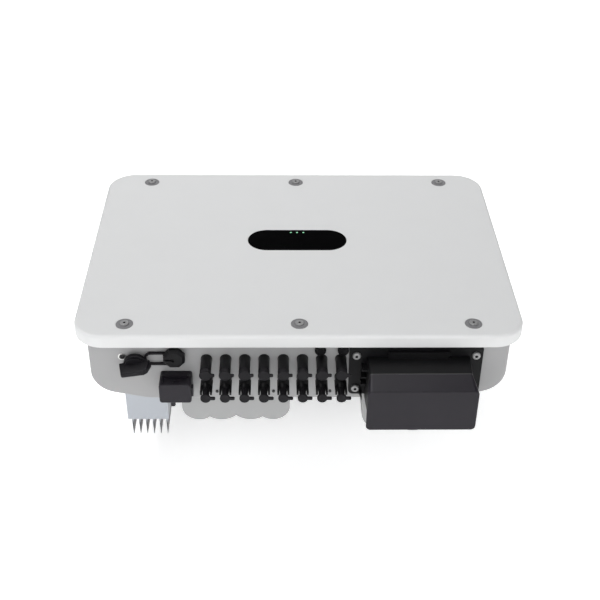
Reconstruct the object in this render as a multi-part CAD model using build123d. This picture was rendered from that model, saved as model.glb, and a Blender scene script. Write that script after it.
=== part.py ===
"""Wall-mounted string inverter: a shallow rounded front cover over a cast tub with all its
connectors on the underside, a finned heat sink and cast inductor housings behind, and the
wall bracket that it hangs on.

Frame: +X to the right seen from the front, +Y into the wall, +Z up.  The origin is the centre
of the bracket's four wall holes, on the wall plane y = 0.  Sizes below use three measures:
x from the centre line, depth behind the cover's front face, height above its lower edge.
"""
import os
from math import cos, pi, radians, sin, tan
from build123d import *

# ---- Overall ----
COVER_W = 640.0
COVER_H = 470.0
BODY_D = 270.0            # front face to wall
MOUNT_H = 300.0           # bracket hole pattern above the cover's lower edge
RUN = 0.3                 # gap between pieces that move past each other
FIT = 0.05                # radial gap of a shaft, thread or pin in its hole

# ---- Front cover ----
COVER_D = 20.0
COVER_R = 45.0
COVER_WALL = 3.0
COVER_EDGE_R = 5.0
COVER_LIP_R = 1.0
SCREW_INSET_X = 73.0
SCREW_INSET_H = 30.0
SCREW_R = 3.0
SCREW_HOLE_R = 3.4
SCREW_HEAD_R = 6.3
SCREW_HEAD_T = 2.2
SCREW_SOCKET_R = 2.0
SCREW_TIP_D = 30.0
WASHER_R = 12.2
WASHER_T = 1.4
WASHER_SINK = 1.0         # depth of the round seat under each washer
SEAL_D = 12.0             # depth where the cover meets the seal and the casing's bosses
COVER_BOSS_R = 8.0

# ---- Indicator window ----
WINDOW_W = 156.0
WINDOW_H = 60.0
WINDOW_Z = 253.0
WINDOW_T = 2.4
WINDOW_PAD = 6.0          # cover material round the window, on the inside
GUIDE_PITCH = 10.0
GUIDE_RISE = 22.5         # light guides above the window's centre
GUIDE_R = 1.5
INDICATOR_BOARD = (64.0, 30.0, 1.6)
BOARD_POST_R = 3.0
BOARD_POST_X = 26.0

# ---- Casing tub ----
SIDE_OVERHANG = 21.0      # cover beyond the tub's sides
END_OVERHANG = 10.0       # cover beyond the tub's lower and upper faces
TUB_D = 121.0
TUB_WALL = 3.0
TUB_SHOULDER_W = 80.0     # slanted part of the back beside each side
TUB_SHOULDER_DROP = 18.0  # how much shallower the tub is at its sides
TUB_CORNER_R = 39.0
TUB_BEND_R = 90.0
TUB_EDGE_R = 4.0
SEAL_T = 2.0
SEAL_W = 5.0
SEAL_INSET = 1.5
FLANGE_OUT_X = 4.0
FLANGE_OUT_H = 5.0
FLANGE_T = 4.0
FLANGE_R = 20.0
BOSS_R = 7.0
BOSS_DEPTH = 36.0
BOSS_WEB = 8.0

# ---- Heat sink and castings behind the tub ----
SINK_HALF_W = 222.0
SINK_H0 = 163.0
SINK_TOP_GAP = 15.0
SINK_BASE_T = 8.0
SINK_D = 235.0
FIN_PITCH = 10.5
FIN_ROOT = 3.4
FIN_TIP = 1.4
END_FIN = 6.0
CAST_WALL = 3.5
CAST_H0 = 14.0
CAST_GAP = 5.0            # below the heat sink
LEAD_HOLE_R = 7.0
INDUCTOR_HOLE_R = 6.0
INDUCTOR_H = 96.0
INDUCTOR_GAP = 2.0
DC_INDUCTOR_R = 15.5
AC_INDUCTOR_R = 20.0
LOBE_WEB = 6.0            # solid behind the lobes' nearest centre line
# lobes of each casting: x from the casting's middle, centre behind the tub's back, radius
DC_CAST_X = -92.5
DC_LOBES = ((-54.5, 19.0, 25.0), (-21.5, 12.0, 32.0), (21.5, 12.0, 32.0), (54.5, 19.0, 25.0))
AC_CAST_INSET = 127.0     # middle of the right casting from the tub's side
AC_LOBES = ((-46.0, 33.0, 32.0), (0.0, 31.0, 36.0), (46.0, 33.0, 32.0))
CHIP_X0 = 41.0            # side heat sink from the tub's left side
CHIP_W = 62.0
CHIP_H0 = 40.0
CHIP_D = 187.0
CHIP_FIN_D = 216.0
CHIP_FINS = 6
CHIP_FIN_OFF = 2.0        # fins right of an even spacing
CHIP_FIN_ROOT = 2.6
CHIP_FIN_TIP = 0.8
CHIP_R = 6.0

# ---- Wall bracket ----
BRACKET_T = 3.0
BRACKET_H0 = -85.0        # from the hole pattern's centre
BRACKET_H1 = 92.0
HOLE_PITCH_X = 400.0
HOLE_PITCH_Z = 120.0
WALL_HOLE_R = 4.5
SHELF_D = 15.0
SHELF_Z = 28.0
SHELF_LIP = 20.0
RELIEF_HALF_W = 60.0
RELIEF_H = 44.0
RELIEF_R = 10.0
RELIEF_X = 100.0
LUG_X = 150.0
LUG_W = 44.0
LUG_T = 4.0
LUG_DROP = 11.0
LUG_FOOT_H = 70.0
SHELF_BEYOND = 10.0       # shelf beyond each lug
CHEEK_H0 = -70.0
CHEEK_H1 = 20.0
CHEEK_D = 50.0
LOCK_IN = 9.0             # lock screw from the end of the heat sink's fins
LOCK_R = 3.0
SIDE_HEAD_R = 5.5
SIDE_HEAD_T = 4.0
SIDE_SCREW_L = 8.5
EARTH_PAD = 1.0           # casing round and under each earth screw's head

# ---- DC inputs on the underside ----
STRINGS = 8
STRING_PITCH = 27.3
STRING_X = -36.6
FRONT_ROW_D = 47.0
REAR_ROW_D = 79.5
COLLAR_R = 8.3
COLLAR_T = 2.5
SOCKET_R = 8.0
THREAD_R = 6.0
THREAD_H = 16.0           # thread above the tub's floor
NUT_R = 9.0
NUT_T = 5.0
FRONT_END = -19.0
FRONT_BORE_R = 4.6
FRONT_CAP_END = -29.3
FRONT_CAP_R = 8.1
FRONT_CAP_TAPER = 0.5
CAP_DISC_T = 3.0
TAB_L = 5.0
TAB_W = 4.2
REAR_BODY_END = -15.0
REAR_END = -20.0
REAR_TIP_R = 5.8
REAR_BORE_R = 3.6
REAR_CAP_END = -40.0
REAR_CAP_R = 7.25
REAR_NECK_R = 4.8
REAR_TAB_L = 6.5
RIDGE_W = 3.0
RIDGE_OUT = 1.2
WING_W = 17.2              # over the two latch arms
WING_T = 4.0
ARM_T = 3.0
ARM_END = -29.0
STEM_IN = 17.0            # how far a dust plug's stem goes into its socket
BORE_MORE = 2.0           # socket's bore beyond the stem
CAP_EDGE_R = 0.8
NECK_TAPER = 0.4
RIDGE_GAP = 2.0

# ---- DC switch ----
SWITCH_INSET = 67.0       # switch axis from the tub's left side
SWITCH_D = 48.5
BEZEL_R = 11.0
BEZEL_T = 7.0
SHAFT_R = 4.0
SHAFT_TOP = 40.0
SHAFT_CLEAR = 2.0
SWITCH_BODY_W = 46.0
SWITCH_BODY_D = 40.0
SWITCH_BODY_GAP = 1.0      # behind the cover screw's boss
SWITCH_BODY_H = 56.0
SWITCH_DECKS = 4
DECK_GROOVE = 2.0
KNOB_R = 17.0
KNOB_EDGE_R = 2.2
KNOB_STEP_R = 14.5
KNOB_TOP = 2.5
KNOB_STEP = -3.0
KNOB_SHOULDER = -7.0
KNOB_END = -24.0
GRIP_TOP = (44.4, 13.6)
GRIP_LOW = (36.4, 6.6)
GRIP_R = 2.2
GRIP_EDGE = 1.0
GRIP_NOSE = (10.0, 9.0)   # slanted cut at the grip's right end: along it and up it
GRIP_SKEW = -9.0
LOCK_OFF_X = -19.6        # padlock screw from the switch axis
LOCK_OFF_D = -5.9
SMALL_SCREW_R = 2.2
SMALL_THREAD_R = 1.2
SMALL_HEAD_R = 3.8
SMALL_HEAD_T = 1.6
SMALL_RECESS = 1.2        # depth of the hexagon recess
SMALL_TIP_GAP = 0.5       # screw's tip below the inner face of the tub's floor
RECESS_SHARE = 0.42       # hexagon recess against the head's radius

# ---- Data port, its cap and strap ----
PORT_INSET = 122.0        # port axis from the tub's left side
PORT_D = 38.2
PORT_R = 10.0
PORT_BORE_R = 6.0
PORT_WALL = 2.0
PORT_CROWN = 2.0          # closed end of the port's bore
PORT_END = 4.0
CAP_R = 15.2
CAP_END = -5.0
CAP_CHAMFER = 3.5
CAP_SLOT = (12.0, 3.4, 2.5)
STRAP_T = 3.0
STRAP_H = 3.4
STRAP_RING_R = 12.8
STRAP_X0 = 79.0           # far end of the strap's loop from the tub's left side
STRAP_W = 22.0
STRAP_OFF_D = 5.5         # loop's middle behind the port's axis
STRAP_GAP = 1.0           # strap above the port's end
STRAP_FLAT = 1.0          # straight part of the loop's end

# ---- Signal connector ----
COM_X0 = 100.0            # from the tub's left side
COM_W = 45.5
COM_D0 = 68.8
COM_D1 = 101.6
COM_R = 4.0
COM_EDGE_R = 1.5
COM_FLANGE_T = 5.0
COM_END = -22.6
COM_WALL = 7.0
COM_CORE_END = -8.0
COM_TOP = 24.0
COM_PANEL_IN = 5.0        # recessed front panel from the plug's sides
COM_PANEL_D = 2.5
COM_PANEL_H = (6.0, 7.6)  # panel from the plug's lower and upper ends
ARCH_OFF_X = 2.0          # arch from the plug's middle
ARCH_R = (8.5, 5.5)
ARCH_OUT = 0.8            # arch behind the plug's front face
COM_SCREW_IN = 4.0
COM_SCREW_DROP = 5.0
COM_SCREW_L = 4.0
COM_SCREW_HEAD_T = 1.2
NUB_OFF_X = -4.4
NUB_R = 3.6
NUB_L = 8.0
NUB_UP = 2.0
CLIP_OUT = 2.6
CLIP_W = 14.0
CLIP_H = (4.0, 14.0)      # side clip from the plug's lower end

# ---- AC connection box ----
AC_INSET = 38.0           # flange's right edge from the tub's right side
AC_FLANGE_W = 190.0
AC_FLANGE_D0 = 20.6
AC_FLANGE_D1 = 108.0
AC_FLANGE_T = 4.0
AC_SEAL_T = 1.0
AC_FLANGE_R = 7.0
AC_SCREW_INSET = 10.0
AC_SCREW_D = (16.7, 11.5)  # screw rows from the flange's front and rear edges
AC_SCREW_R = 2.5
AC_SCREW_HEAD_R = 6.0
AC_SCREW_HEAD_T = 3.8
AC_SCREW_RECESS = 2.6
AC_SCREW_IN = 3.0         # screw's tip beyond the tub's floor
AC_SEAL_INSET = 2.0
AC_X0 = 23.8              # collar's left side from the flange's left edge
AC_W = 149.2
AC_D0 = 38.6
AC_D1 = 119.0
AC_R = 6.0
AC_WALL = 3.0
AC_SEAM = -33.0
AC_DRAFT = 3.5            # degrees that the collar narrows downwards
AC_END = -60.0
AC_END_OUT = (2.0, 5.0)   # cover's lower end beyond the collar's left and right sides
AC_END_BACK = (12.4, 2.5)  # cover's lower end behind the collar's front and rear sides
AC_END_R = 7.0
AC_EDGE_R = 2.0
AC_LIP = 6.0
AC_LIP_T = 2.0
AC_LATCH = (31.4, 117.0)  # latch block, from the collar's left side
AC_LATCH_D = 28.0
AC_LATCH_END = -1.0
AC_RIBS = 3
AC_RIB_D = 12.0           # first rib behind the collar's front
AC_RIB_PITCH = 15.0
AC_RIB_T = 3.0
AC_RIB_OUT = 7.0
AC_RIB_END = -12.0
AC_RIB_STEP = 3.0         # each rib is shorter than the one before it
BARB_X = (9.0, 4.0, 5.0)  # hook's upper corners and tip, left of the collar
BARB_END = -14.0
BARB_D = (7.0, 3.0)       # hook from the flange's rear edge
TERMINALS = 5
TERMINAL_PITCH = 21.0
TERMINAL_D = 30.0
TERMINAL_BACK = 12.0      # behind the flange's middle
TERMINAL_END = -14.0
TERMINAL_TOP = 26.0
WIRE_R = 6.0
WIRE_IN = 14.0
WIRE_OFF_D = 6.0
CLAMP_R = 4.6
CLAMP_IN = 6.0
CLAMP_OFF_D = -8.0
CLAMP_SUNK = 2.0
CLAMP_SLOT = (6.8, 1.2, 1.4)
CELL_GROOVE = (1.2, 9.0)
BUSHING_R = 14.0
BUSHING_BORE_R = 9.0
BUSHING_LIP = 3.0
BUSHING_IN = 2.0          # inside the collar's wall
BUSHING_GRIP = 2.0        # between the wall and the outer lip
BUSHING_X = 112.0         # from the collar's left side

# ---- Vents and small screws ----
VENT_R = 8.0
VENT_T = 5.5
VENT_EDGE = 1.0
VENT_X = (29.5, 62.0)
VENT_D = 30.2
VENT_STEM_R = 5.0
VENT_STEM_IN = 6.0
VENT_SLOTS = 6
VENT_SLOT = (5.6, 0.9, 2.5)  # ring radius, hole radius, depth
DOT_X = (-119.0, -37.0, 45.0)
DOT_D = 106.5
EARTH_D = 60.0
EARTH_H = (44.0, 70.0)

# ---- Inside ----
BOARD_T = 2.0
BOARD_D = 92.0
BOARD_SIDE_GAP = 34.0
BOARD_H0 = 88.0
BOARD_TOP_GAP = 18.0
STANDOFF_R = 4.0
STANDOFF_INSET = (45.0, 12.0)
SPACER_INSET = 6.0
SPACER_R = 3.0
MODULE = (62.0, 40.0)
MODULE_Z = 250.0
MODULE_PITCH = 100.0
MODULES = 4
CAP_CAN_R = 16.0
CAP_CAN_L = 46.0
CAP_CAN_PITCH = 38.0
CAP_CANS = 7
CAP_CAN_EDGE_R = 1.5
CAP_CAN_Z = (330.0, 370.0)
CONTROL_BOARD = (190.0, 110.0)
CONTROL_X = -60.0
CONTROL_Z = 160.0
CONTROL_D = 42.0
CHIPS = 5
CHIP_PITCH = 34.0
CHIP_IN = 24.0            # first chip from the control board's left edge
CHIP_SIZE = (16.0, 16.0, 3.0)
PLUG_SIZE = (20.0, 8.0, 9.0)
PLUG_UP = 4.0
CHOKE_R = 24.0
CHOKE_BORE_R = 10.0
CHOKE_T = 22.0
CHOKE_X = (95.0, 150.0, 205.0)
CHOKE_Z = 150.0
RELAY = (26.0, 18.0, 22.0)
RELAY_Z = 205.0
RELAYS = 4
RELAY_PITCH = 36.0
RELAY_OFF_X = -15.0       # first relay from the first choke
FAN_SIZE = 60.0
FAN_T = 20.0
FAN_POST_L = 5.0
FAN_X = -190.0
FAN_Z = 350.0
FAN_BORE_R = 27.5
FAN_HUB_R = 11.0
FAN_BLADES = 7
FAN_SHAFT_R = 1.5
FAN_CORNER_R = 4.0
FAN_FOOT_IN = 5.0
FAN_TIP_GAP = 1.0
SPOKE = 3.0
BLADE_T = 1.4
BLADE_W = 15.0
BLADE_TILT = 38.0
BLADE_ROOT = 1.0          # blade inside the hub

# ---- Places worked out from the sizes above ----
TUB_HALF_W = COVER_W / 2 - SIDE_OVERHANG
TUB_H0 = END_OVERHANG
TUB_H1 = COVER_H - END_OVERHANG
FLOOR = TUB_H0 + TUB_WALL
FLANGE_D = SEAL_D + SEAL_T
BACK = TUB_D - TUB_WALL
SINK_H1 = TUB_H1 - SINK_TOP_GAP
SWITCH_X = -TUB_HALF_W + SWITCH_INSET
PORT_X = -TUB_HALF_W + PORT_INSET
COM_X = -TUB_HALF_W + COM_X0 + COM_W / 2
COM_D = (COM_D0 + COM_D1) / 2
AC_FLANGE_X1 = TUB_HALF_W - AC_INSET
AC_FLANGE_X0 = AC_FLANGE_X1 - AC_FLANGE_W
AC_COLLAR_X0 = AC_FLANGE_X0 + AC_X0
AC_COLLAR_X1 = AC_COLLAR_X0 + AC_W
AC_MID_X = (AC_COLLAR_X0 + AC_COLLAR_X1) / 2
TERMINAL_MID_D = (AC_FLANGE_D0 + AC_FLANGE_D1) / 2 + TERMINAL_BACK
AC_CAST_X = TUB_HALF_W - AC_CAST_INSET
STRING_XS = [STRING_X + STRING_PITCH * (i - (STRINGS - 1) / 2) for i in range(STRINGS)]
COVER_SCREWS = [
    (x, h)
    for x in (-COVER_W / 2 + SCREW_INSET_X, 0.0, COVER_W / 2 - SCREW_INSET_X)
    for h in (SCREW_INSET_H, COVER_H - SCREW_INSET_H)
]
AC_SCREWS = [
    (x, d)
    for x in (AC_FLANGE_X0 + AC_SCREW_INSET, AC_FLANGE_X1 - AC_SCREW_INSET)
    for d in (AC_FLANGE_D0 + AC_SCREW_D[0], AC_FLANGE_D1 - AC_SCREW_D[1])
]
SHELF_BASE = BRACKET_H1 - SHELF_Z


# ---- Helpers: x, depth and height to the model's frame ----
def y_at(depth):
    return depth - BODY_D


def z_at(height):
    return height - MOUNT_H


def rect(x0, x1, v0, v1, radius=0.0):
    """A flat rectangle between two corners, with rounded corners where a radius is given."""
    place = Pos((x0 + x1) / 2, (v0 + v1) / 2)
    if radius:
        return place * RectangleRounded(x1 - x0, v1 - v0, radius)
    return place * Rectangle(x1 - x0, v1 - v0)


def plan(sketch, h0, h1, taper=0.0):
    """Raises a sketch of x and depth from height h0 to h1."""
    return Pos(0, y_at(0), z_at(h0)) * extrude(sketch, h1 - h0, taper=taper)


def plan_down(sketch, h1, h0, taper=0.0):
    """Lowers a sketch of x and depth from height h1 to h0."""
    return Pos(0, y_at(0), z_at(h1)) * extrude(sketch, h1 - h0, dir=(0, 0, -1), taper=taper)


def face_on(sketch, d0, d1):
    """Gives a sketch of x and height the thickness from depth d0 to d1."""
    back = Plane(origin=(0, y_at(d1), z_at(0)), x_dir=(1, 0, 0), z_dir=(0, -1, 0))
    return extrude(back * sketch, d1 - d0)


def block(x0, x1, d0, d1, h0, h1):
    centre = Pos((x0 + x1) / 2, y_at((d0 + d1) / 2), z_at((h0 + h1) / 2))
    return centre * Box(x1 - x0, d1 - d0, h1 - h0)


def rod_z(x, d, h0, h1, r):
    return Pos(x, y_at(d), z_at((h0 + h1) / 2)) * Cylinder(r, h1 - h0)


def cone_z(x, d, h0, h1, r0, r1):
    """An upright cone with radius r0 at height h0 and r1 at height h1."""
    return Pos(x, y_at(d), z_at((h0 + h1) / 2)) * Cone(r0, r1, h1 - h0)


def rod_y(x, h, d0, d1, r):
    return Pos(x, y_at((d0 + d1) / 2), z_at(h)) * Rot(90, 0, 0) * Cylinder(r, d1 - d0)


def rod_x(d, h, x0, x1, r):
    return Pos((x0 + x1) / 2, y_at(d), z_at(h)) * Rot(0, 90, 0) * Cylinder(r, x1 - x0)


def hex_z(x, d, h0, h1, r):
    return plan(Pos(x, d) * RegularPolygon(r, 6), h0, h1)


def save(name, shape):
    """Writes one node; a list is kept as separate solids."""
    if isinstance(shape, list):
        shape = Compound(children=shape)
    shape.label = name
    export_step(shape, f"parts/{name}.step")


# ---- Front cover and what rides on it ----
def seal_outline():
    """Flat ring that the seal fills, between the cover's rib and the casing's flange."""
    half = TUB_HALF_W + FLANGE_OUT_X - SEAL_INSET
    low = TUB_H0 - FLANGE_OUT_H + SEAL_INSET
    high = TUB_H1 + FLANGE_OUT_H - SEAL_INSET
    radius = FLANGE_R - SEAL_INSET
    hole = rect(-half + SEAL_W, half - SEAL_W, low + SEAL_W, high - SEAL_W, radius - SEAL_W)
    return rect(-half, half, low, high, radius) - hole


def front_cover():
    half = COVER_W / 2
    shell = face_on(rect(-half, half, 0, COVER_H, COVER_R), 0, COVER_D)
    shell = fillet(shell.edges().group_by(Axis.Y)[0], COVER_EDGE_R)
    shell = fillet(shell.edges().group_by(Axis.Y)[-1], COVER_LIP_R)
    inner = half - COVER_WALL
    pocket = rect(-inner, inner, COVER_WALL, COVER_H - COVER_WALL, COVER_R - COVER_WALL)
    shell -= face_on(pocket, COVER_WALL, COVER_D)
    shell += face_on(seal_outline(), COVER_WALL, SEAL_D)
    pad = Pos(0, WINDOW_Z) * SlotOverall(WINDOW_W + 2 * WINDOW_PAD, WINDOW_H + 2 * WINDOW_PAD)
    shell += face_on(pad, COVER_WALL, 2 * COVER_WALL)
    for side in (-1, 1):
        shell += rod_y(side * BOARD_POST_X, WINDOW_Z + GUIDE_RISE, 2 * COVER_WALL, SEAL_D, BOARD_POST_R)
    for x, h in COVER_SCREWS:
        shell += rod_y(x, h, COVER_WALL, SEAL_D, COVER_BOSS_R)
        shell -= rod_y(x, h, 0, WASHER_SINK, WASHER_R + RUN)
        shell -= rod_y(x, h, 0, SEAL_D, SCREW_HOLE_R)
    window = Pos(0, WINDOW_Z) * SlotOverall(WINDOW_W + 2 * RUN, WINDOW_H + 2 * RUN)
    shell -= face_on(window, 0, WINDOW_T)
    for x, h in guide_places():
        shell -= rod_y(x, h, 0, 2 * COVER_WALL, GUIDE_R + FIT)
    return shell


def guide_places():
    return [(i * GUIDE_PITCH, WINDOW_Z + GUIDE_RISE) for i in (-1, 0, 1)]


def indicator_window():
    pane = face_on(Pos(0, WINDOW_Z) * SlotOverall(WINDOW_W, WINDOW_H), 0, WINDOW_T)
    pane = fillet(pane.edges().group_by(Axis.Y)[0], RUN)
    for x, h in guide_places():
        pane -= rod_y(x, h, 0, WINDOW_T, GUIDE_R + FIT)
    return pane


def light_guides():
    return [rod_y(x, h, 0, SEAL_D, GUIDE_R) for x, h in guide_places()]


def indicator_board():
    w, h, t = INDICATOR_BOARD
    mid = WINDOW_Z + GUIDE_RISE
    return block(-w / 2, w / 2, SEAL_D, SEAL_D + t, mid - h / 2, mid + h / 2)


def cover_screws():
    pieces = []
    for x, h in COVER_SCREWS:
        seat = WASHER_SINK - WASHER_T
        head = rod_y(x, h, seat - SCREW_HEAD_T, seat, SCREW_HEAD_R)
        head = fillet(head.edges().group_by(Axis.Y)[0], SCREW_HEAD_T / 3)
        head += rod_y(x, h, seat, SCREW_TIP_D, SCREW_R)
        socket = face_on(Pos(x, h) * RegularPolygon(SCREW_SOCKET_R, 6), seat - SCREW_HEAD_T, seat)
        pieces.append(head - socket)
    return pieces


def cover_washers():
    rings = []
    for x, h in COVER_SCREWS:
        ring = rod_y(x, h, WASHER_SINK - WASHER_T, WASHER_SINK, WASHER_R)
        ring = chamfer(ring.edges().group_by(Axis.Y)[0], WASHER_T / 3)
        rings.append(ring - rod_y(x, h, WASHER_SINK - WASHER_T, WASHER_SINK, SCREW_R + FIT))
    return rings


def cover_gasket():
    return face_on(seal_outline(), SEAL_D, FLANGE_D)


# ---- Casing tub ----
def tub_plan(inset=0.0):
    """Outline of x and depth: straight sides, rounded corners, a flat back with slanted ends."""
    half, front, side = TUB_HALF_W, FLANGE_D - inset, TUB_D - TUB_SHOULDER_DROP
    flat = half - TUB_SHOULDER_W
    outline = make_face(Polyline(
        (-half, front), (half, front), (half, side), (flat, TUB_D), (-flat, TUB_D), (-half, side), close=True
    ))
    outline = fillet(outline.vertices().group_by(Axis.Y)[-1], TUB_BEND_R)
    corners = [v for v in outline.vertices() if abs(abs(v.X) - half) < FIT and abs(v.Y - side) < FIT]
    outline = fillet(corners, TUB_CORNER_R)
    return offset(outline, -inset, kind=Kind.INTERSECTION) if inset else outline


def rear_casing():
    shell = plan(tub_plan(), TUB_H0, TUB_H1)
    shell = fillet(shell.edges().group_by(Axis.Z)[0], TUB_EDGE_R)
    shell = fillet(shell.edges().group_by(Axis.Z)[-1], TUB_EDGE_R)
    half = TUB_HALF_W + FLANGE_OUT_X
    flange = rect(-half, half, TUB_H0 - FLANGE_OUT_H, TUB_H1 + FLANGE_OUT_H, FLANGE_R)
    shell += face_on(flange, FLANGE_D, FLANGE_D + FLANGE_T)
    shell -= plan(tub_plan(TUB_WALL), FLOOR, TUB_H1 - TUB_WALL)
    for x, h in COVER_SCREWS:
        shell += rod_y(x, h, SEAL_D, BOSS_DEPTH, BOSS_R)
        wall = TUB_H0 if h < COVER_H / 2 else TUB_H1
        low, high = sorted((wall, h))
        shell += block(x - BOSS_WEB / 2, x + BOSS_WEB / 2, FLANGE_D, BOSS_DEPTH, low, high)
        shell -= rod_y(x, h, SEAL_D, BOSS_DEPTH, SCREW_HOLE_R)
    for x in STRING_XS:
        for d in (FRONT_ROW_D, REAR_ROW_D):
            shell -= rod_z(x, d, TUB_H0, FLOOR, THREAD_R + FIT)
    shell -= rod_z(SWITCH_X, SWITCH_D, TUB_H0, FLOOR, SHAFT_R + SHAFT_CLEAR)
    shell -= rod_z(SWITCH_X + LOCK_OFF_X, SWITCH_D + LOCK_OFF_D, TUB_H0, FLOOR, SMALL_SCREW_R + FIT)
    shell -= rod_z(PORT_X, PORT_D, TUB_H0, FLOOR, PORT_BORE_R + PORT_WALL + FIT)
    shell -= plan(com_core(FIT), TUB_H0, FLOOR)
    for x in VENT_X:
        shell -= rod_z(x, VENT_D, TUB_H0, FLOOR, VENT_STEM_R + FIT)
    for x in DOT_X:
        shell -= rod_z(x, DOT_D, TUB_H0, FLOOR, SMALL_THREAD_R + FIT)
    for x, d in AC_SCREWS:
        shell -= rod_z(x, d, TUB_H0, FLOOR + AC_SCREW_IN, AC_SCREW_R + FIT)
    shell -= plan(terminal_plan(FIT), TUB_H0, FLOOR)
    for h in EARTH_H:
        shell += rod_x(EARTH_D, h, TUB_HALF_W - SIDE_SCREW_L, TUB_HALF_W - EARTH_PAD, SIDE_HEAD_R + EARTH_PAD)
        shell -= rod_x(EARTH_D, h, TUB_HALF_W - SIDE_SCREW_L, TUB_HALF_W, LOCK_R + FIT)
    for x, h in post_places():
        shell += rod_y(x, h, BOARD_D + BOARD_T, BACK, STANDOFF_R)
    for x, h in lead_holes():
        shell -= rod_y(x, h, BACK, TUB_D, LEAD_HOLE_R)
    return shell


def lead_holes():
    h = CAST_H0 + INDUCTOR_H + LEAD_HOLE_R
    return [(DC_CAST_X + lobe[0], h) for lobe in DC_LOBES] + [
        (AC_CAST_X + lobe[0], h) for lobe in AC_LOBES
    ]


# ---- Castings and heat sinks behind the tub ----
def lobe_plan(mid, lobes, inset=0.0):
    """Scalloped outline: round lobes side by side, up against the tub's back."""
    left = mid + lobes[0][0] - lobes[0][2]
    right = mid + lobes[-1][0] + lobes[-1][2]
    front = TUB_D - TUB_SHOULDER_DROP
    outline = rect(left + inset, right - inset, front, TUB_D + min(lobe[1] for lobe in lobes) + LOBE_WEB)
    for x, d, r in lobes:
        outline += Pos(mid + x, TUB_D + d) * Circle(r - inset)
    return outline - tub_plan()


def scalloped_housing(mid, lobes):
    top = SINK_H0 - CAST_GAP
    shell = plan(lobe_plan(mid, lobes), CAST_H0, top)
    return shell - plan(lobe_plan(mid, lobes, CAST_WALL), CAST_H0 + CAST_WALL, top - CAST_WALL)


def inductors(mid, lobes, radius):
    floor = CAST_H0 + CAST_WALL
    pieces = []
    for x, d, r in lobes:
        centre = TUB_D + d + r - CAST_WALL - INDUCTOR_GAP - radius
        core = rod_z(mid + x, centre, floor, floor + INDUCTOR_H, radius)
        pieces.append(core - rod_z(mid + x, centre, floor, floor + INDUCTOR_H, INDUCTOR_HOLE_R))
    return pieces


def comb(x0, x1, d0, d1, d2, fins, root=FIN_ROOT, tip=FIN_TIP, end=0.0):
    """Plan of a finned block: solid from d0 to d1, tapered fins from d1 to d2."""
    points = [(x0, d0), (x0, d1)]
    if end:
        points = [(x0, d0), (x0, d2), (x0 + end, d2), (x0 + end, d1)]
    for x in fins:
        points += [(x - root / 2, d1), (x - tip / 2, d2), (x + tip / 2, d2), (x + root / 2, d1)]
    if end:
        points += [(x1 - end, d1), (x1 - end, d2), (x1, d2), (x1, d0)]
    else:
        points += [(x1, d1), (x1, d0)]
    return make_face(Polyline(*points, close=True))


def heat_sink():
    count = int((SINK_HALF_W - END_FIN - FIN_PITCH / 2) / FIN_PITCH)
    fins = [i * FIN_PITCH for i in range(-count, count + 1)]
    base = TUB_D + SINK_BASE_T
    outline = comb(-SINK_HALF_W, SINK_HALF_W, TUB_D, base, SINK_D, fins, end=END_FIN)
    sink = plan(outline, SINK_H0, SINK_H1)
    for side in (-1, 1):
        x0, x1 = sorted((side * (SINK_HALF_W - END_FIN), side * SINK_HALF_W))
        sink -= rod_x(SINK_D - LOCK_IN, lock_height(), x0, x1, LOCK_R + FIT)
    return sink


def side_heat_sink():
    x0 = -TUB_HALF_W + CHIP_X0
    pitch = CHIP_W / CHIP_FINS
    fins = [x0 + pitch * (i + 0.5) + CHIP_FIN_OFF for i in range(CHIP_FINS)]
    front = TUB_D - TUB_SHOULDER_DROP
    outline = comb(x0, x0 + CHIP_W, front, CHIP_D, CHIP_FIN_D, fins, CHIP_FIN_ROOT, CHIP_FIN_TIP) - tub_plan()
    sink = plan(outline, CHIP_H0, SINK_H0 - CAST_GAP)
    corner = sink.edges().filter_by(Axis.Z).filter_by(
        lambda e: abs(e.center().Y - y_at(CHIP_D)) < FIT
        and min(abs(e.center().X - x0), abs(e.center().X - x0 - CHIP_W)) < FIT
    )
    return fillet(corner, min(CHIP_R, (pitch - CHIP_FIN_ROOT) / 2 - CHIP_FIN_OFF - RUN))


# ---- Wall bracket, hanging lugs and lock screws ----
def lock_height():
    return MOUNT_H + (CHEEK_H0 + CHEEK_H1) / 2


def wall_bracket():
    """Pressed plate with a hooked shelf along its top and a cheek at each end."""
    half = SINK_HALF_W + RUN + BRACKET_T
    h0, h1 = MOUNT_H + BRACKET_H0, MOUNT_H + BRACKET_H1
    front = BODY_D - BRACKET_T
    plate = face_on(rect(-half, half, h0, h1 - SHELF_LIP), front, BODY_D)
    for side in (-1, 1):
        relief = rect(-RELIEF_HALF_W, RELIEF_HALF_W, -RELIEF_H / 2, RELIEF_H / 2, RELIEF_R)
        plate -= face_on(Pos(side * RELIEF_X, MOUNT_H - RELIEF_H / 2) * relief, front, BODY_D)
        x0, x1 = sorted((side * half, side * (half - BRACKET_T)))
        plate += block(x0, x1, BODY_D - CHEEK_D, BODY_D, MOUNT_H + CHEEK_H0, MOUNT_H + CHEEK_H1)
        plate -= rod_x(SINK_D - LOCK_IN, lock_height(), x0, x1, LOCK_R + RUN)
        for rise in (-1, 1):
            x, h = side * HOLE_PITCH_X / 2, MOUNT_H + rise * HOLE_PITCH_Z / 2
            plate -= rod_y(x, h, front, BODY_D, WALL_HOLE_R)
    shelf = MOUNT_H + SHELF_BASE
    span = LUG_X + LUG_W / 2 + SHELF_BEYOND
    plate += block(-span, span, BODY_D - SHELF_D, BODY_D, shelf - BRACKET_T, shelf)
    plate += block(-span, span, BODY_D - SHELF_D, BODY_D - SHELF_D + BRACKET_T, shelf, shelf + SHELF_LIP)
    return plate


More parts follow.
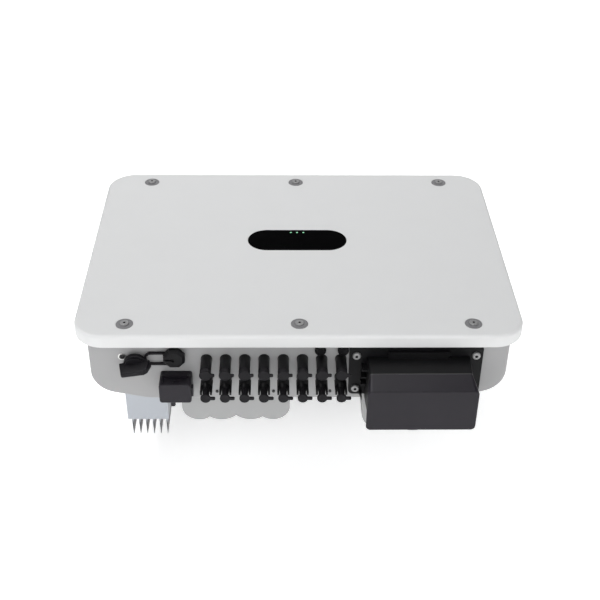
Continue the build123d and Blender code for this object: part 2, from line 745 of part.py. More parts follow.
def hanging_lugs():
    """Two hooks on the ends of the fins that drop behind the bracket's lip."""
    top = MOUNT_H + SHELF_BASE + SHELF_LIP
    lip = BODY_D - SHELF_D + BRACKET_T
    lugs = []
    for side in (-1, 1):
        x0, x1 = side * LUG_X - LUG_W / 2, side * LUG_X + LUG_W / 2
        foot = block(x0, x1, SINK_D, SINK_D + LUG_T, top - LUG_FOOT_H, top)
        arm = block(x0, x1, SINK_D, lip + RUN + BRACKET_T, top, top + LUG_T)
        tongue = block(x0, x1, lip + RUN, lip + RUN + BRACKET_T, top - LUG_DROP, top)
        lugs.append(foot + arm + tongue)
    return lugs


def bracket_lock_screws():
    cheek = SINK_HALF_W + RUN + BRACKET_T
    return [side_screw(side, cheek, SINK_D - LOCK_IN, lock_height()) for side in (-1, 1)]


def side_screw(side, seat, d, h):
    """A hexagon screw that goes in from one side, with its head on the seat at x = seat."""
    screw = extrude(RegularPolygon(SIDE_HEAD_R, 6), SIDE_HEAD_T)
    screw += Pos(0, 0, -SIDE_SCREW_L / 2) * Cylinder(LOCK_R, SIDE_SCREW_L)
    return Pos(side * seat, y_at(d), z_at(h)) * Rot(0, side * 90, 0) * screw


# ---- DC inputs ----
def front_socket(x):
    d = FRONT_ROW_D
    body = rod_z(x, d, FRONT_END, TUB_H0, SOCKET_R) + rod_z(x, d, TUB_H0 - COLLAR_T, TUB_H0, COLLAR_R)
    body += rod_z(x, d, TUB_H0, FLOOR + THREAD_H, THREAD_R)
    return body - rod_z(x, d, FRONT_END, FRONT_END + STEM_IN + BORE_MORE, FRONT_BORE_R)


def rear_socket(x):
    """Socket with a latch arm at each side that reaches down past its tip."""
    d = REAR_ROW_D
    body = rod_z(x, d, REAR_BODY_END, TUB_H0, SOCKET_R) + rod_z(x, d, TUB_H0 - COLLAR_T, TUB_H0, COLLAR_R)
    body += cone_z(x, d, REAR_END, REAR_BODY_END, REAR_TIP_R, SOCKET_R)
    for side in (-1, 1):
        x0, x1 = sorted((x + side * WING_W / 2, x + side * (WING_W / 2 - ARM_T)))
        body += block(x0, x1, d - WING_T / 2, d + WING_T / 2, ARM_END, 0)
    body += rod_z(x, d, TUB_H0, FLOOR + THREAD_H, THREAD_R)
    return body - rod_z(x, d, REAR_END, REAR_END + STEM_IN + BORE_MORE, REAR_BORE_R)


def socket_nuts():
    nuts = []
    for x in STRING_XS:
        for d in (FRONT_ROW_D, REAR_ROW_D):
            nut = hex_z(x, d, FLOOR, FLOOR + NUT_T, NUT_R)
            nuts.append(nut - rod_z(x, d, FLOOR, FLOOR + NUT_T, THREAD_R + FIT))
    return nuts


def front_plug(x):
    """Dust plug of the front row: a flared cap with a short pull tab and a stem."""
    d, top = FRONT_ROW_D, FRONT_END - RUN
    cap = cone_z(x, d, FRONT_CAP_END, top, FRONT_CAP_R + FRONT_CAP_TAPER / 2, FRONT_CAP_R - FRONT_CAP_TAPER)
    cap = fillet(cap.edges().group_by(Axis.Z)[0], CAP_EDGE_R)
    reach = x + FRONT_CAP_R + TAB_L
    tab = block(x, reach - TAB_W / 2, d - TAB_W / 2, d + TAB_W / 2, FRONT_CAP_END, FRONT_CAP_END + CAP_DISC_T)
    tab += rod_z(reach - TAB_W / 2, d, FRONT_CAP_END, FRONT_CAP_END + CAP_DISC_T, TAB_W / 2)
    return cap + tab + rod_z(x, d, top, FRONT_END + STEM_IN, FRONT_BORE_R - RUN)


def rear_plug(x):
    """Dust plug of the rear row: a ribbed neck, a small disc with a long pull tab, a stem."""
    d, top = REAR_ROW_D, REAR_END - RUN
    disc_top = REAR_CAP_END + CAP_DISC_T
    plug = rod_z(x, d, REAR_CAP_END, disc_top, REAR_CAP_R)
    plug = fillet(plug.edges().group_by(Axis.Z)[0], CAP_EDGE_R)
    plug += cone_z(x, d, disc_top, top, REAR_NECK_R - NECK_TAPER, REAR_NECK_R + NECK_TAPER)
    ridge_d = d - REAR_NECK_R - RIDGE_OUT
    plug += block(x - RIDGE_W / 2, x + RIDGE_W / 2, ridge_d, d, disc_top, top - RIDGE_GAP)
    reach = x + REAR_CAP_R + REAR_TAB_L
    tab = block(x, reach - TAB_W / 2, d - TAB_W / 2, d + TAB_W / 2, REAR_CAP_END, disc_top)
    tab += rod_z(reach - TAB_W / 2, d, REAR_CAP_END, disc_top, TAB_W / 2)
    return plug + tab + rod_z(x, d, top, REAR_END + STEM_IN, REAR_BORE_R - RUN)


# ---- DC switch ----
def dc_switch_body():
    x0, x1 = SWITCH_X - SWITCH_BODY_W / 2, SWITCH_X + SWITCH_BODY_W / 2
    d0 = BOSS_DEPTH + SWITCH_BODY_GAP
    d1 = d0 + SWITCH_BODY_D
    body = block(x0, x1, d0, d1, FLOOR, FLOOR + SWITCH_BODY_H)
    for i in range(1, SWITCH_DECKS):
        h = FLOOR + SWITCH_BODY_H * i / SWITCH_DECKS
        body -= block(x0, x1, d1 - DECK_GROOVE, d1, h - DECK_GROOVE / 2, h + DECK_GROOVE / 2)
    return body - rod_z(SWITCH_X, SWITCH_D, FLOOR, SHAFT_TOP + RUN, SHAFT_R + FIT)


def dc_switch_bezel():
    bezel = rod_z(SWITCH_X, SWITCH_D, TUB_H0 - BEZEL_T, TUB_H0, BEZEL_R)
    return bezel - rod_z(SWITCH_X, SWITCH_D, TUB_H0 - BEZEL_T, TUB_H0, SHAFT_R + FIT)


def grip():
    """Bar that narrows downwards, with a slanted cut under its right end."""
    low = Plane.XY.offset(z_at(KNOB_END)) * RectangleRounded(*GRIP_LOW, GRIP_R)
    top = Plane.XY.offset(z_at(KNOB_STEP)) * RectangleRounded(*GRIP_TOP, GRIP_R)
    bar = loft([low, top])
    bar = chamfer(bar.edges().group_by(Axis.Z)[0], GRIP_EDGE)
    along, up = GRIP_NOSE
    end, floor = GRIP_TOP[0] / 2, z_at(KNOB_END)
    wedge = make_face(Polyline((end - along, floor), (end, floor), (end, floor + up), close=True))
    return bar - extrude(Plane.XZ * wedge, GRIP_TOP[1], both=True)


def dc_switch_knob():
    """Rotary knob: a stepped round base, a skewed bar grip and the shaft."""
    base = rod_z(SWITCH_X, SWITCH_D, KNOB_STEP, KNOB_TOP, KNOB_R)
    base = fillet(base.edges().group_by(Axis.Z)[0], KNOB_EDGE_R)
    base += rod_z(SWITCH_X, SWITCH_D, KNOB_SHOULDER, KNOB_STEP, KNOB_STEP_R)
    base += Pos(SWITCH_X, y_at(SWITCH_D), 0) * Rot(0, 0, GRIP_SKEW) * grip()
    return base + rod_z(SWITCH_X, SWITCH_D, KNOB_TOP, SHAFT_TOP, SHAFT_R)


def small_screw(x, d, head_r, shank_r):
    screw = rod_z(x, d, TUB_H0 - SMALL_HEAD_T, TUB_H0, head_r)
    screw += rod_z(x, d, TUB_H0, FLOOR - SMALL_TIP_GAP, shank_r)
    low = TUB_H0 - SMALL_HEAD_T
    return screw - hex_z(x, d, low, low + SMALL_RECESS, head_r * RECESS_SHARE)


def underside_screws():
    """Three plate screws along the rear edge and the padlock screw beside the switch."""
    lock = small_screw(SWITCH_X + LOCK_OFF_X, SWITCH_D + LOCK_OFF_D, SMALL_HEAD_R, SMALL_SCREW_R)
    return [lock] + [small_screw(x, DOT_D, SMALL_SCREW_R, SMALL_THREAD_R) for x in DOT_X]


# ---- Data port ----
def data_port():
    port = rod_z(PORT_X, PORT_D, PORT_END, TUB_H0, PORT_R)
    port += rod_z(PORT_X, PORT_D, TUB_H0, FLOOR + THREAD_H, PORT_BORE_R + PORT_WALL)
    return port - rod_z(PORT_X, PORT_D, PORT_END, FLOOR + THREAD_H - PORT_CROWN, PORT_BORE_R)


def data_port_cap():
    low, high = CAP_END, PORT_END - RUN
    cap = eight_sided(PORT_X, PORT_D, low, high)
    cap = chamfer(cap.edges().group_by(Axis.Z)[0], CAP_CHAMFER)
    length, width, deep = CAP_SLOT
    start = PORT_X - CAP_R
    end = start + length
    cap -= block(start, end, PORT_D - width / 2, PORT_D + width / 2, low, low + deep)
    cap -= block(end, end + width, PORT_D - width, PORT_D + width, low, low + deep)
    return cap + rod_z(PORT_X, PORT_D, high, TUB_H0, PORT_BORE_R - RUN)


def eight_sided(x, d, h0, h1):
    """An eight-sided prism as wide as the cap, with a flat side to the front."""
    turn = 360 / 8 / 2
    return plan(Pos(x, d) * Rot(0, 0, turn) * RegularPolygon(CAP_R, 8, major_radius=False), h0, h1)


def cap_strap():
    """Rubber loop with a ring round the port's neck."""
    h0 = PORT_END + STRAP_GAP
    x0 = -TUB_HALF_W + STRAP_X0
    mid = PORT_D + STRAP_OFF_D
    half, end_r = STRAP_W / 2, (STRAP_W - STRAP_FLAT) / 2
    loop = rect(x0, PORT_X, mid - half, mid + half, end_r)
    inner = half - STRAP_T
    loop -= rect(x0 + STRAP_T, PORT_X - STRAP_T, mid - inner, mid + inner, end_r - STRAP_T)
    ring = loop + Pos(PORT_X, PORT_D) * Circle(STRAP_RING_R)
    return plan(ring - Pos(PORT_X, PORT_D) * Circle(PORT_R + FIT), h0, h0 + STRAP_H)


# ---- Signal connector ----
def com_core(grow=0.0):
    half_w, half_d = COM_W / 2 - COM_WALL, (COM_D1 - COM_D0) / 2 - COM_WALL
    return rect(COM_X - half_w - grow, COM_X + half_w + grow, COM_D - half_d - grow, COM_D + half_d + grow)


def com_outline(inset=0.0):
    half_w, half_d = COM_W / 2 - inset, (COM_D1 - COM_D0) / 2 - inset
    return rect(COM_X - half_w, COM_X + half_w, COM_D - half_d, COM_D + half_d, COM_R)


def signal_socket():
    flange = plan(com_outline(), TUB_H0 - COM_FLANGE_T, TUB_H0)
    return flange + plan(com_core(), COM_CORE_END, COM_TOP)


def signal_plug():
    """Hood with a recessed front panel, an arch on it, a clip at its right and a nub behind."""
    top = TUB_H0 - COM_FLANGE_T - RUN
    plug = plan(com_outline(), COM_END, top)
    plug = fillet(plug.edges().group_by(Axis.Z)[0], COM_EDGE_R)
    plug -= plan(com_core(RUN), COM_CORE_END - RUN, top)
    x0, x1 = COM_X - COM_W / 2 + COM_PANEL_IN, COM_X + COM_W / 2 - COM_PANEL_IN
    low, high = COM_END + COM_PANEL_H[0], top - COM_PANEL_H[1]
    back = COM_D0 + COM_PANEL_D
    plug -= block(x0, x1, COM_D0, back, low, high)
    outer, inner = ARCH_R
    arch = rod_y(COM_X + ARCH_OFF_X, low, COM_D0 + ARCH_OUT, back, outer)
    arch -= rod_y(COM_X + ARCH_OFF_X, low, COM_D0 + ARCH_OUT, back, inner)
    plug += arch & block(x0, x1, COM_D0, back, low, high)
    side = COM_X + COM_W / 2
    half = CLIP_W / 2
    h0, h1 = COM_END + CLIP_H[0], COM_END + CLIP_H[1]
    plug += block(side - COM_EDGE_R, side + CLIP_OUT, COM_D - half, COM_D + half, h0, h1)
    for x in com_screw_xs():
        plug -= rod_y(x, top - COM_SCREW_DROP, COM_D0, COM_D0 + COM_SCREW_L, SMALL_THREAD_R + FIT)
    return plug + rod_y(COM_X + NUB_OFF_X, COM_END + NUB_R + NUB_UP, COM_D1, COM_D1 + NUB_L, NUB_R)


def com_screw_xs():
    reach = COM_W / 2 - COM_SCREW_IN
    return COM_X - reach, COM_X + reach


def signal_plug_screws():
    h = TUB_H0 - COM_FLANGE_T - RUN - COM_SCREW_DROP
    screws = []
    for x in com_screw_xs():
        screw = rod_y(x, h, COM_D0 - COM_SCREW_HEAD_T, COM_D0, SMALL_SCREW_R)
        screws.append(screw + rod_y(x, h, COM_D0, COM_D0 + COM_SCREW_L, SMALL_THREAD_R))
    return screws


# ---- AC connection box ----
def terminal_plan(grow=0.0):
    half = TERMINALS * TERMINAL_PITCH / 2 + grow
    deep = TERMINAL_D / 2 + grow
    return rect(AC_MID_X - half, AC_MID_X + half, TERMINAL_MID_D - deep, TERMINAL_MID_D + deep)


def collar_plan(inset=0.0):
    x0, x1 = AC_COLLAR_X0 + inset, AC_COLLAR_X1 - inset
    return rect(x0, x1, AC_D0 + inset, AC_D1 - inset, AC_R - min(inset, AC_WALL))


def ac_base():
    """Flange on the tub with a latch block, ribs and a hook, and a collar that narrows downwards."""
    top = TUB_H0 - AC_SEAL_T
    low = top - AC_FLANGE_T
    flange = rect(AC_FLANGE_X0, AC_FLANGE_X1, AC_FLANGE_D0, AC_FLANGE_D1, AC_FLANGE_R)
    base = plan(flange, low, top) + plan_down(collar_plan(), low, AC_SEAM, taper=AC_DRAFT)
    x0, x1 = AC_COLLAR_X0 + AC_LATCH[0], AC_COLLAR_X0 + AC_LATCH[1]
    base += block(x0, x1, AC_LATCH_D, AC_D0 + AC_WALL, AC_LATCH_END, low)
    for i in range(AC_RIBS):
        d = AC_D0 + AC_RIB_D + AC_RIB_PITCH * i
        end = AC_RIB_END + AC_RIB_STEP * i
        base += block(AC_COLLAR_X0 - AC_RIB_OUT, AC_COLLAR_X0 + AC_WALL, d, d + AC_RIB_T, end, low)
    left, right, tip = [AC_COLLAR_X0 - out for out in BARB_X]
    hook = make_face(Polyline((left, low), (right, low), (tip, BARB_END), close=True))
    base += face_on(hook, AC_FLANGE_D1 - BARB_D[0], AC_FLANGE_D1 - BARB_D[1])
    base -= plan_down(collar_plan(AC_WALL), low - AC_WALL, AC_SEAM, taper=AC_DRAFT)
    base -= plan(terminal_plan(FIT), AC_SEAM, top)
    for x, d in AC_SCREWS:
        base -= rod_z(x, d, low, top, AC_SCREW_R + RUN)
    return base - rod_y(*bushing_place(), AC_D1 - 2 * AC_WALL, AC_D1, BUSHING_R)


def ac_gasket():
    inset = AC_SEAL_INSET
    x0, x1 = AC_FLANGE_X0 + inset, AC_FLANGE_X1 - inset
    ring = rect(x0, x1, AC_FLANGE_D0 + inset, AC_FLANGE_D1 - inset, AC_FLANGE_R - inset)
    seal = plan(ring - terminal_plan(FIT), TUB_H0 - AC_SEAL_T, TUB_H0)
    for x, d in AC_SCREWS:
        seal -= rod_z(x, d, TUB_H0 - AC_SEAL_T, TUB_H0, AC_SCREW_R + RUN)
    return seal


def ac_flange_screws():
    seat = TUB_H0 - AC_SEAL_T - AC_FLANGE_T
    low = seat - AC_SCREW_HEAD_T
    screws = []
    for x, d in AC_SCREWS:
        head = rod_z(x, d, low, seat, AC_SCREW_HEAD_R)
        head = fillet(head.edges().group_by(Axis.Z)[0], AC_SCREW_HEAD_T / 2)
        head -= hex_z(x, d, low, low + AC_SCREW_RECESS, AC_SCREW_HEAD_R * RECESS_SHARE)
        screws.append(head + rod_z(x, d, seat, FLOOR + AC_SCREW_IN, AC_SCREW_R))
    return screws


def ac_terminals():
    """Terminal block: a row of cells with a wire mouth in each, open downwards."""
    body = plan(terminal_plan(), TERMINAL_END, TERMINAL_TOP)
    d = TERMINAL_MID_D
    for x in terminal_xs():
        body -= rod_z(x, d + WIRE_OFF_D, TERMINAL_END, TERMINAL_END + WIRE_IN, WIRE_R)
        body -= rod_z(x, d + CLAMP_OFF_D, TERMINAL_END, TERMINAL_END + CLAMP_IN, CLAMP_R)
    width, deep = CELL_GROOVE
    for i in range(1, TERMINALS):
        x = AC_MID_X + (i - TERMINALS / 2) * TERMINAL_PITCH
        low, high = TERMINAL_END, TERMINAL_END + deep
        body -= block(x - width / 2, x + width / 2, d - TERMINAL_D / 2, d + TERMINAL_D / 2, low, high)
    return body


def terminal_xs():
    return [AC_MID_X + (i - (TERMINALS - 1) / 2) * TERMINAL_PITCH for i in range(TERMINALS)]


def terminal_screws():
    d = TERMINAL_MID_D + CLAMP_OFF_D
    low = TERMINAL_END + CLAMP_SUNK
    length, width, deep = CLAMP_SLOT
    screws = []
    slot = rect(-length / 2, length / 2, d - width / 2, d + width / 2)
    for x in terminal_xs():
        head = rod_z(x, d, low, TERMINAL_END + CLAMP_IN, CLAMP_R - RUN)
        screws.append(head - plan(Pos(x, 0) * slot, low, low + deep))
    return screws


def seam_rect(inset):
    """The collar's outline at the seam, taken in all round."""
    inset += (TUB_H0 - AC_SEAL_T - AC_FLANGE_T - AC_SEAM) * tan(radians(AC_DRAFT))
    x0, x1 = AC_COLLAR_X0 + inset, AC_COLLAR_X1 - inset
    return rect(x0, x1, AC_D0 + inset, AC_D1 - inset, max(AC_R - inset, RUN))


def end_rect(inset):
    """The cover's outline at its lower end, taken in all round."""
    (left, right), (front, back) = AC_END_OUT, AC_END_BACK
    x0, x1 = AC_COLLAR_X0 - left + inset, AC_COLLAR_X1 + right - inset
    return rect(x0, x1, AC_D0 + front + inset, AC_D1 + back - inset, AC_END_R - inset)


def ac_cover():
    """Cup below the seam with a sloping front and flared sides, and a lip inside the collar."""
    seam, end = Plane.XY.offset(AC_SEAM), Plane.XY.offset(AC_END)
    cup = loft([end * end_rect(0), seam * seam_rect(0)])
    cup = fillet(cup.edges().group_by(Axis.Z)[0], AC_EDGE_R)
    inset = AC_WALL + RUN
    cup += extrude(seam * seam_rect(inset), AC_LIP)
    floor = Plane.XY.offset(AC_END + AC_WALL)
    cup -= loft([floor * end_rect(inset), seam * seam_rect(inset + AC_LIP_T)])
    cup -= extrude(seam * seam_rect(inset + AC_LIP_T), AC_LIP)
    return Pos(0, y_at(0), z_at(0)) * cup


def bushing_place():
    return AC_COLLAR_X0 + BUSHING_X, (TUB_H0 + AC_SEAM) / 2


def cable_bushing():
    x, h = bushing_place()
    d0, d1 = AC_D1 - 2 * AC_WALL - BUSHING_IN, AC_D1 + BUSHING_GRIP
    ring = rod_y(x, h, d0, d1, BUSHING_R - FIT)
    ring += rod_y(x, h, d1, d1 + BUSHING_LIP, BUSHING_R + BUSHING_IN)
    return ring - rod_y(x, h, d0, d1 + BUSHING_LIP, BUSHING_BORE_R)


# ---- Vents, small screws, earth screws ----
def vent_valves():
    ring_r, hole_r, deep = VENT_SLOT
    low = TUB_H0 - VENT_T
    valves = []
    for x in VENT_X:
        valve = rod_z(x, VENT_D, low, TUB_H0, VENT_R)
        valve = chamfer(valve.edges().group_by(Axis.Z)[0], VENT_EDGE)
        for i in range(VENT_SLOTS):
            a = 2 * pi * i / VENT_SLOTS
            valve -= rod_z(x + ring_r * cos(a), VENT_D + ring_r * sin(a), low, low + deep, hole_r)
        valves.append(valve + rod_z(x, VENT_D, TUB_H0, FLOOR + VENT_STEM_IN, VENT_STEM_R))
    return valves


def earth_screws():
    return [side_screw(1, TUB_HALF_W, EARTH_D, h) for h in EARTH_H]


# ---- Inside the casing ----
def board_span():
    return -TUB_HALF_W + BOARD_SIDE_GAP, TUB_HALF_W - BOARD_SIDE_GAP, BOARD_H0, TUB_H1 - BOARD_TOP_GAP


def power_board():
    x0, x1, h0, h1 = board_span()
    return block(x0, x1, BOARD_D, BOARD_D + BOARD_T, h0, h1)


def post_places():
    """The casing's cast posts that carry the power board."""
    x0, x1, h0, h1 = board_span()
    in_x, in_h = STANDOFF_INSET
    return [(x, h) for x in (x0 + in_x, 0, x1 - in_x) for h in (h0 + in_h, h1 - in_h)]


def control_spacers():
    w, t = CONTROL_BOARD
    half_w, half_t = w / 2 - SPACER_INSET, t / 2 - SPACER_INSET
    xs = (CONTROL_X - half_w, CONTROL_X + half_w)
    hs = (CONTROL_Z - half_t, CONTROL_Z + half_t)
    return [rod_y(x, h, CONTROL_D + BOARD_T, BOARD_D, SPACER_R) for x in xs for h in hs]


def power_modules():
    w, t = MODULE
    h0, h1 = MODULE_Z - t / 2, MODULE_Z + t / 2
    xs = [MODULE_PITCH * (i - (MODULES - 1) / 2) for i in range(MODULES)]
    return [block(x - w / 2, x + w / 2, BOARD_D + BOARD_T, BACK, h0, h1) for x in xs]


def bus_capacitors():
    cans = []
    for h in CAP_CAN_Z:
        for i in range(CAP_CANS):
            can = rod_y(CAP_CAN_PITCH * (i - 1), h, BOARD_D - CAP_CAN_L, BOARD_D, CAP_CAN_R)
            cans.append(fillet(can.edges().group_by(Axis.Y)[0], CAP_CAN_EDGE_R))
    return cans


def control_board():
    w, t = CONTROL_BOARD
    x0, h0 = CONTROL_X - w / 2, CONTROL_Z - t / 2
    board = block(x0, x0 + w, CONTROL_D, CONTROL_D + BOARD_T, h0, h0 + t)
    for i in range(CHIPS):
        x = x0 + CHIP_IN + CHIP_PITCH * i
        cw, ct, out = CHIP_SIZE
        board += block(x, x + cw, CONTROL_D - out, CONTROL_D, CONTROL_Z - ct / 2, CONTROL_Z + ct / 2)
        pw, pt, out = PLUG_SIZE
        board += block(x, x + pw, CONTROL_D - out, CONTROL_D, h0 + PLUG_UP, h0 + PLUG_UP + pt)
    return board


def output_chokes():
    rings = []
    for x in CHOKE_X:
        ring = rod_y(x, CHOKE_Z, BOARD_D - CHOKE_T, BOARD_D, CHOKE_R)
        rings.append(ring - rod_y(x, CHOKE_Z, BOARD_D - CHOKE_T, BOARD_D, CHOKE_BORE_R))
    return rings


def output_relays():
    w, t, deep = RELAY
    h0, h1 = RELAY_Z - t / 2, RELAY_Z + t / 2
    xs = [CHOKE_X[0] + RELAY_OFF_X + RELAY_PITCH * i for i in range(RELAYS)]
    return [block(x - w / 2, x + w / 2, BOARD_D - deep, BOARD_D, h0, h1) for x in xs]


def fan_frame():
    """Square frame on four feet, with a hub plate on two crossed spokes."""
    half = FAN_SIZE / 2
    d1 = BOARD_D - FAN_POST_L
    outline = rect(FAN_X - half, FAN_X + half, FAN_Z - half, FAN_Z + half, FAN_CORNER_R)
    frame = face_on(outline, d1 - FAN_T, d1)
    frame -= rod_y(FAN_X, FAN_Z, d1 - FAN_T, d1, FAN_BORE_R + RUN)
    foot = half - FAN_FOOT_IN
    for sx in (-1, 1):
        for sz in (-1, 1):
            frame += rod_y(FAN_X + sx * foot, FAN_Z + sz * foot, d1, BOARD_D, SPACER_R)
    frame += rod_y(FAN_X, FAN_Z, d1 - SPOKE, d1, FAN_HUB_R)
    for turn in (45, 135):
        bar = Box(2 * FAN_BORE_R + SPOKE, SPOKE, SPOKE)
        frame += Pos(FAN_X, y_at(d1 - SPOKE / 2), z_at(FAN_Z)) * Rot(0, turn, 0) * bar
    return frame - rod_y(FAN_X, FAN_Z, d1 - SPOKE, d1, FAN_SHAFT_R + FIT)


def fan_rotor():
    d1 = BOARD_D - FAN_POST_L
    front, back = d1 - FAN_T + RUN, d1 - SPOKE - RUN
    rotor = rod_y(FAN_X, FAN_Z, front, back, FAN_HUB_R)
    span = FAN_BORE_R - FAN_TIP_GAP - FAN_HUB_R
    for i in range(FAN_BLADES):
        turn = 360 / FAN_BLADES * i
        blade = Rot(BLADE_TILT, 0, 0) * Box(span + BLADE_ROOT, BLADE_T, BLADE_W)
        blade = Pos(FAN_HUB_R + (span - BLADE_ROOT) / 2, 0, 0) * blade
        rotor += Pos(FAN_X, y_at((front + back) / 2), z_at(FAN_Z)) * Rot(0, turn, 0) * blade
    return rotor + rod_y(FAN_X, FAN_Z, back, d1, FAN_SHAFT_R)


# ---- Write every node ----
os.makedirs("parts", exist_ok=True)

save("front_cover", front_cover())
save("indicator_window", indicator_window())
save("light_guides", light_guides())
save("indicator_board", indicator_board())
save("cover_screws", cover_screws())
save("cover_washers", cover_washers())
save("cover_gasket", cover_gasket())
save("rear_casing", rear_casing())
save("heat_sink", heat_sink())
save("side_heat_sink", side_heat_sink())
save("dc_inductor_housing", scalloped_housing(DC_CAST_X, DC_LOBES))
save("ac_inductor_housing", scalloped_housing(AC_CAST_X, AC_LOBES))
dc_inductors = inductors(DC_CAST_X, DC_LOBES, DC_INDUCTOR_R)
save("potted_inductors", dc_inductors + inductors(AC_CAST_X, AC_LOBES, AC_INDUCTOR_R))
save("wall_bracket", wall_bracket())
save("hanging_lugs", hanging_lugs())
save("side_screws", bracket_lock_screws() + earth_screws())
save("dc_sockets_front", [front_socket(x) for x in STRING_XS])
save("dc_sockets_rear", [rear_socket(x) for x in STRING_XS])
save("dc_socket_nuts", socket_nuts())
for number, x in enumerate(STRING_XS, 1):
    save(f"plug_front_{number}", front_plug(x))
    save(f"plug_rear_{number}", rear_plug(x))
save("dc_switch_body", dc_switch_body())
save("dc_switch_bezel", dc_switch_bezel())
save("dc_switch_knob", dc_switch_knob())
save("data_port", data_port())
save("data_port_cap", data_port_cap())
save("cap_strap", cap_strap())
save("signal_socket", signal_socket())
save("signal_plug", signal_plug())
save("signal_plug_screws", signal_plug_screws())
save("ac_base", ac_base())
save("ac_gasket", ac_gasket())
save("ac_flange_screws", ac_flange_screws())
save("ac_terminals", ac_terminals())
save("terminal_screws", terminal_screws())
save("ac_cover", ac_cover())
save("cable_bushing", cable_bushing())
save("vent_valves", vent_valves())
save("underside_screws", underside_screws())
save("power_board", power_board())
save("power_modules", power_modules())
save("bus_capacitors", bus_capacitors())
save("control_board", [control_board()] + control_spacers())
save("output_filter", output_chokes() + output_relays())
save("fan_frame", fan_frame())
save("fan_rotor", fan_rotor())
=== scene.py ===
# %% [markdown]
# # A wall-hung string inverter
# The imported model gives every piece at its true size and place, in metres: +X to the right,
# +Y into the wall, +Z up. This file gives those pieces their finishes, adds the small pieces
# that are easier to make as meshes, and sets up a plain studio round them.

# %% Load the frame
import math
import bmesh
import bpy
from mathutils import Matrix, Vector


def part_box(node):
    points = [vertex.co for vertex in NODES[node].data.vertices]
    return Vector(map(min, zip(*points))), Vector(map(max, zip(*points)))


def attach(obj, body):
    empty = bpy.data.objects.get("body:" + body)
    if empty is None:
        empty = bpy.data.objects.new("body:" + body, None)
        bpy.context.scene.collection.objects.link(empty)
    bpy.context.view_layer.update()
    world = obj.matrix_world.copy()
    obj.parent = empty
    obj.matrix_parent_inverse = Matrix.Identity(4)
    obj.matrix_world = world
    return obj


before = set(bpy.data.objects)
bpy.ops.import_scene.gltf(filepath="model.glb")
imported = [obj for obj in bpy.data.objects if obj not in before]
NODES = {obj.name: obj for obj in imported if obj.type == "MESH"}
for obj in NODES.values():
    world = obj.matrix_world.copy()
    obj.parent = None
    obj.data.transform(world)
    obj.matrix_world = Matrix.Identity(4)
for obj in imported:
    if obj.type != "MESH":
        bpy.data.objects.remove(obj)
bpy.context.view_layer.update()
MM = 0.001

# %% [markdown]
# ## Camera
# A low camera that looks steeply up makes the connectors on the underside as easy to see as
# the cover. The view is close to a portrait lens: long enough to keep the sides straight,
# short enough to show some perspective. The camera is set with three angles instead of a
# tracking constraint, so that the small roll of a hand-held view can be kept.

# %% Camera
CAMERA_AT = Vector((-0.0299, -1.1747, -1.4924))
CAMERA_PITCH = math.radians(54.743)
CAMERA_YAW = math.radians(1.996)
CAMERA_ROLL = math.radians(-1.6586)
LENS = 64.51


def make_camera():
    ahead = Vector((
        math.sin(CAMERA_YAW) * math.cos(CAMERA_PITCH),
        math.cos(CAMERA_YAW) * math.cos(CAMERA_PITCH),
        math.sin(CAMERA_PITCH),
    ))
    right = Vector((math.cos(CAMERA_YAW), -math.sin(CAMERA_YAW), 0))
    up = right.cross(ahead)
    turned_right = right * math.cos(CAMERA_ROLL) + up * math.sin(CAMERA_ROLL)
    turned_up = up * math.cos(CAMERA_ROLL) - right * math.sin(CAMERA_ROLL)
    data = bpy.data.cameras.new("camera")
    data.lens, data.clip_end = LENS, 50
    camera = bpy.data.objects.new("camera", data)
    bpy.context.scene.collection.objects.link(camera)
    turn = Matrix((turned_right, turned_up, -ahead)).transposed()
    camera.matrix_world = Matrix.Translation(CAMERA_AT) @ turn.to_4x4()
    bpy.context.scene.camera = camera
    return camera


camera = make_camera()
print("camera at", tuple(round(v, 3) for v in camera.location))

# %% [markdown]
# ## Studio
# The inverter hangs on a wall, so the backdrop is a pale wall just behind the bracket and a
# pale floor far below. The wall is one-sided: seen from behind it lets the view through, so
# the back of the inverter can be looked at too. Large area lights give soft shadows.

# %% Helpers for nodes
def new_material(name):
    material = bpy.data.materials.new(name)
    material.use_nodes = True
    nodes, links = material.node_tree.nodes, material.node_tree.links
    return material, nodes, links, nodes["Principled BSDF"]


def place_group(nodes, group, **values):
    """Puts a node group in a material and sets its inputs by name."""
    node = nodes.new("ShaderNodeGroup")
    node.node_tree = bpy.data.node_groups[group]
    for name, value in values.items():
        node.inputs[name.replace("_", " ")].default_value = value
    return node


# %% Wall, floor, lights
WALL_GAP = 0.002
FLOOR_Z = -2.6
STUDIO_HALF = 6.0
BACKDROP_GREY = 0.9
BACKDROP_GLOW = 0.54
WORLD_COLOUR = (0.95, 0.96, 1.0, 1)
WORLD_STRENGTH = 0.14
AIM_HIGH, AIM_LOW, AIM_BACK = (0, -0.1, 0), (0, -0.1, -0.1), (0, 0, 0)
AREA_LIGHTS = {
    "key_front": dict(at=(-0.8, -3.4, 0.5), target=AIM_HIGH, size=(2.6, 1.8), power=70),
    "top_soft": dict(at=(0.2, -1.2, 3.2), target=AIM_HIGH, size=(3.0, 1.2), power=20),
    "fill_below": dict(at=(0.3, -1.5, -2.4), target=AIM_LOW, size=(2.6, 1.4), power=6),
    "side_left": dict(at=(-2.8, -1.0, 0.0), target=AIM_LOW, size=(1.2, 2.4), power=9),
    "side_right": dict(at=(2.8, -1.0, 0.0), target=AIM_LOW, size=(1.2, 2.4), power=7),
    "behind": dict(at=(0.6, 2.6, 1.6), target=AIM_BACK, size=(2.5, 2.0), power=45),
}


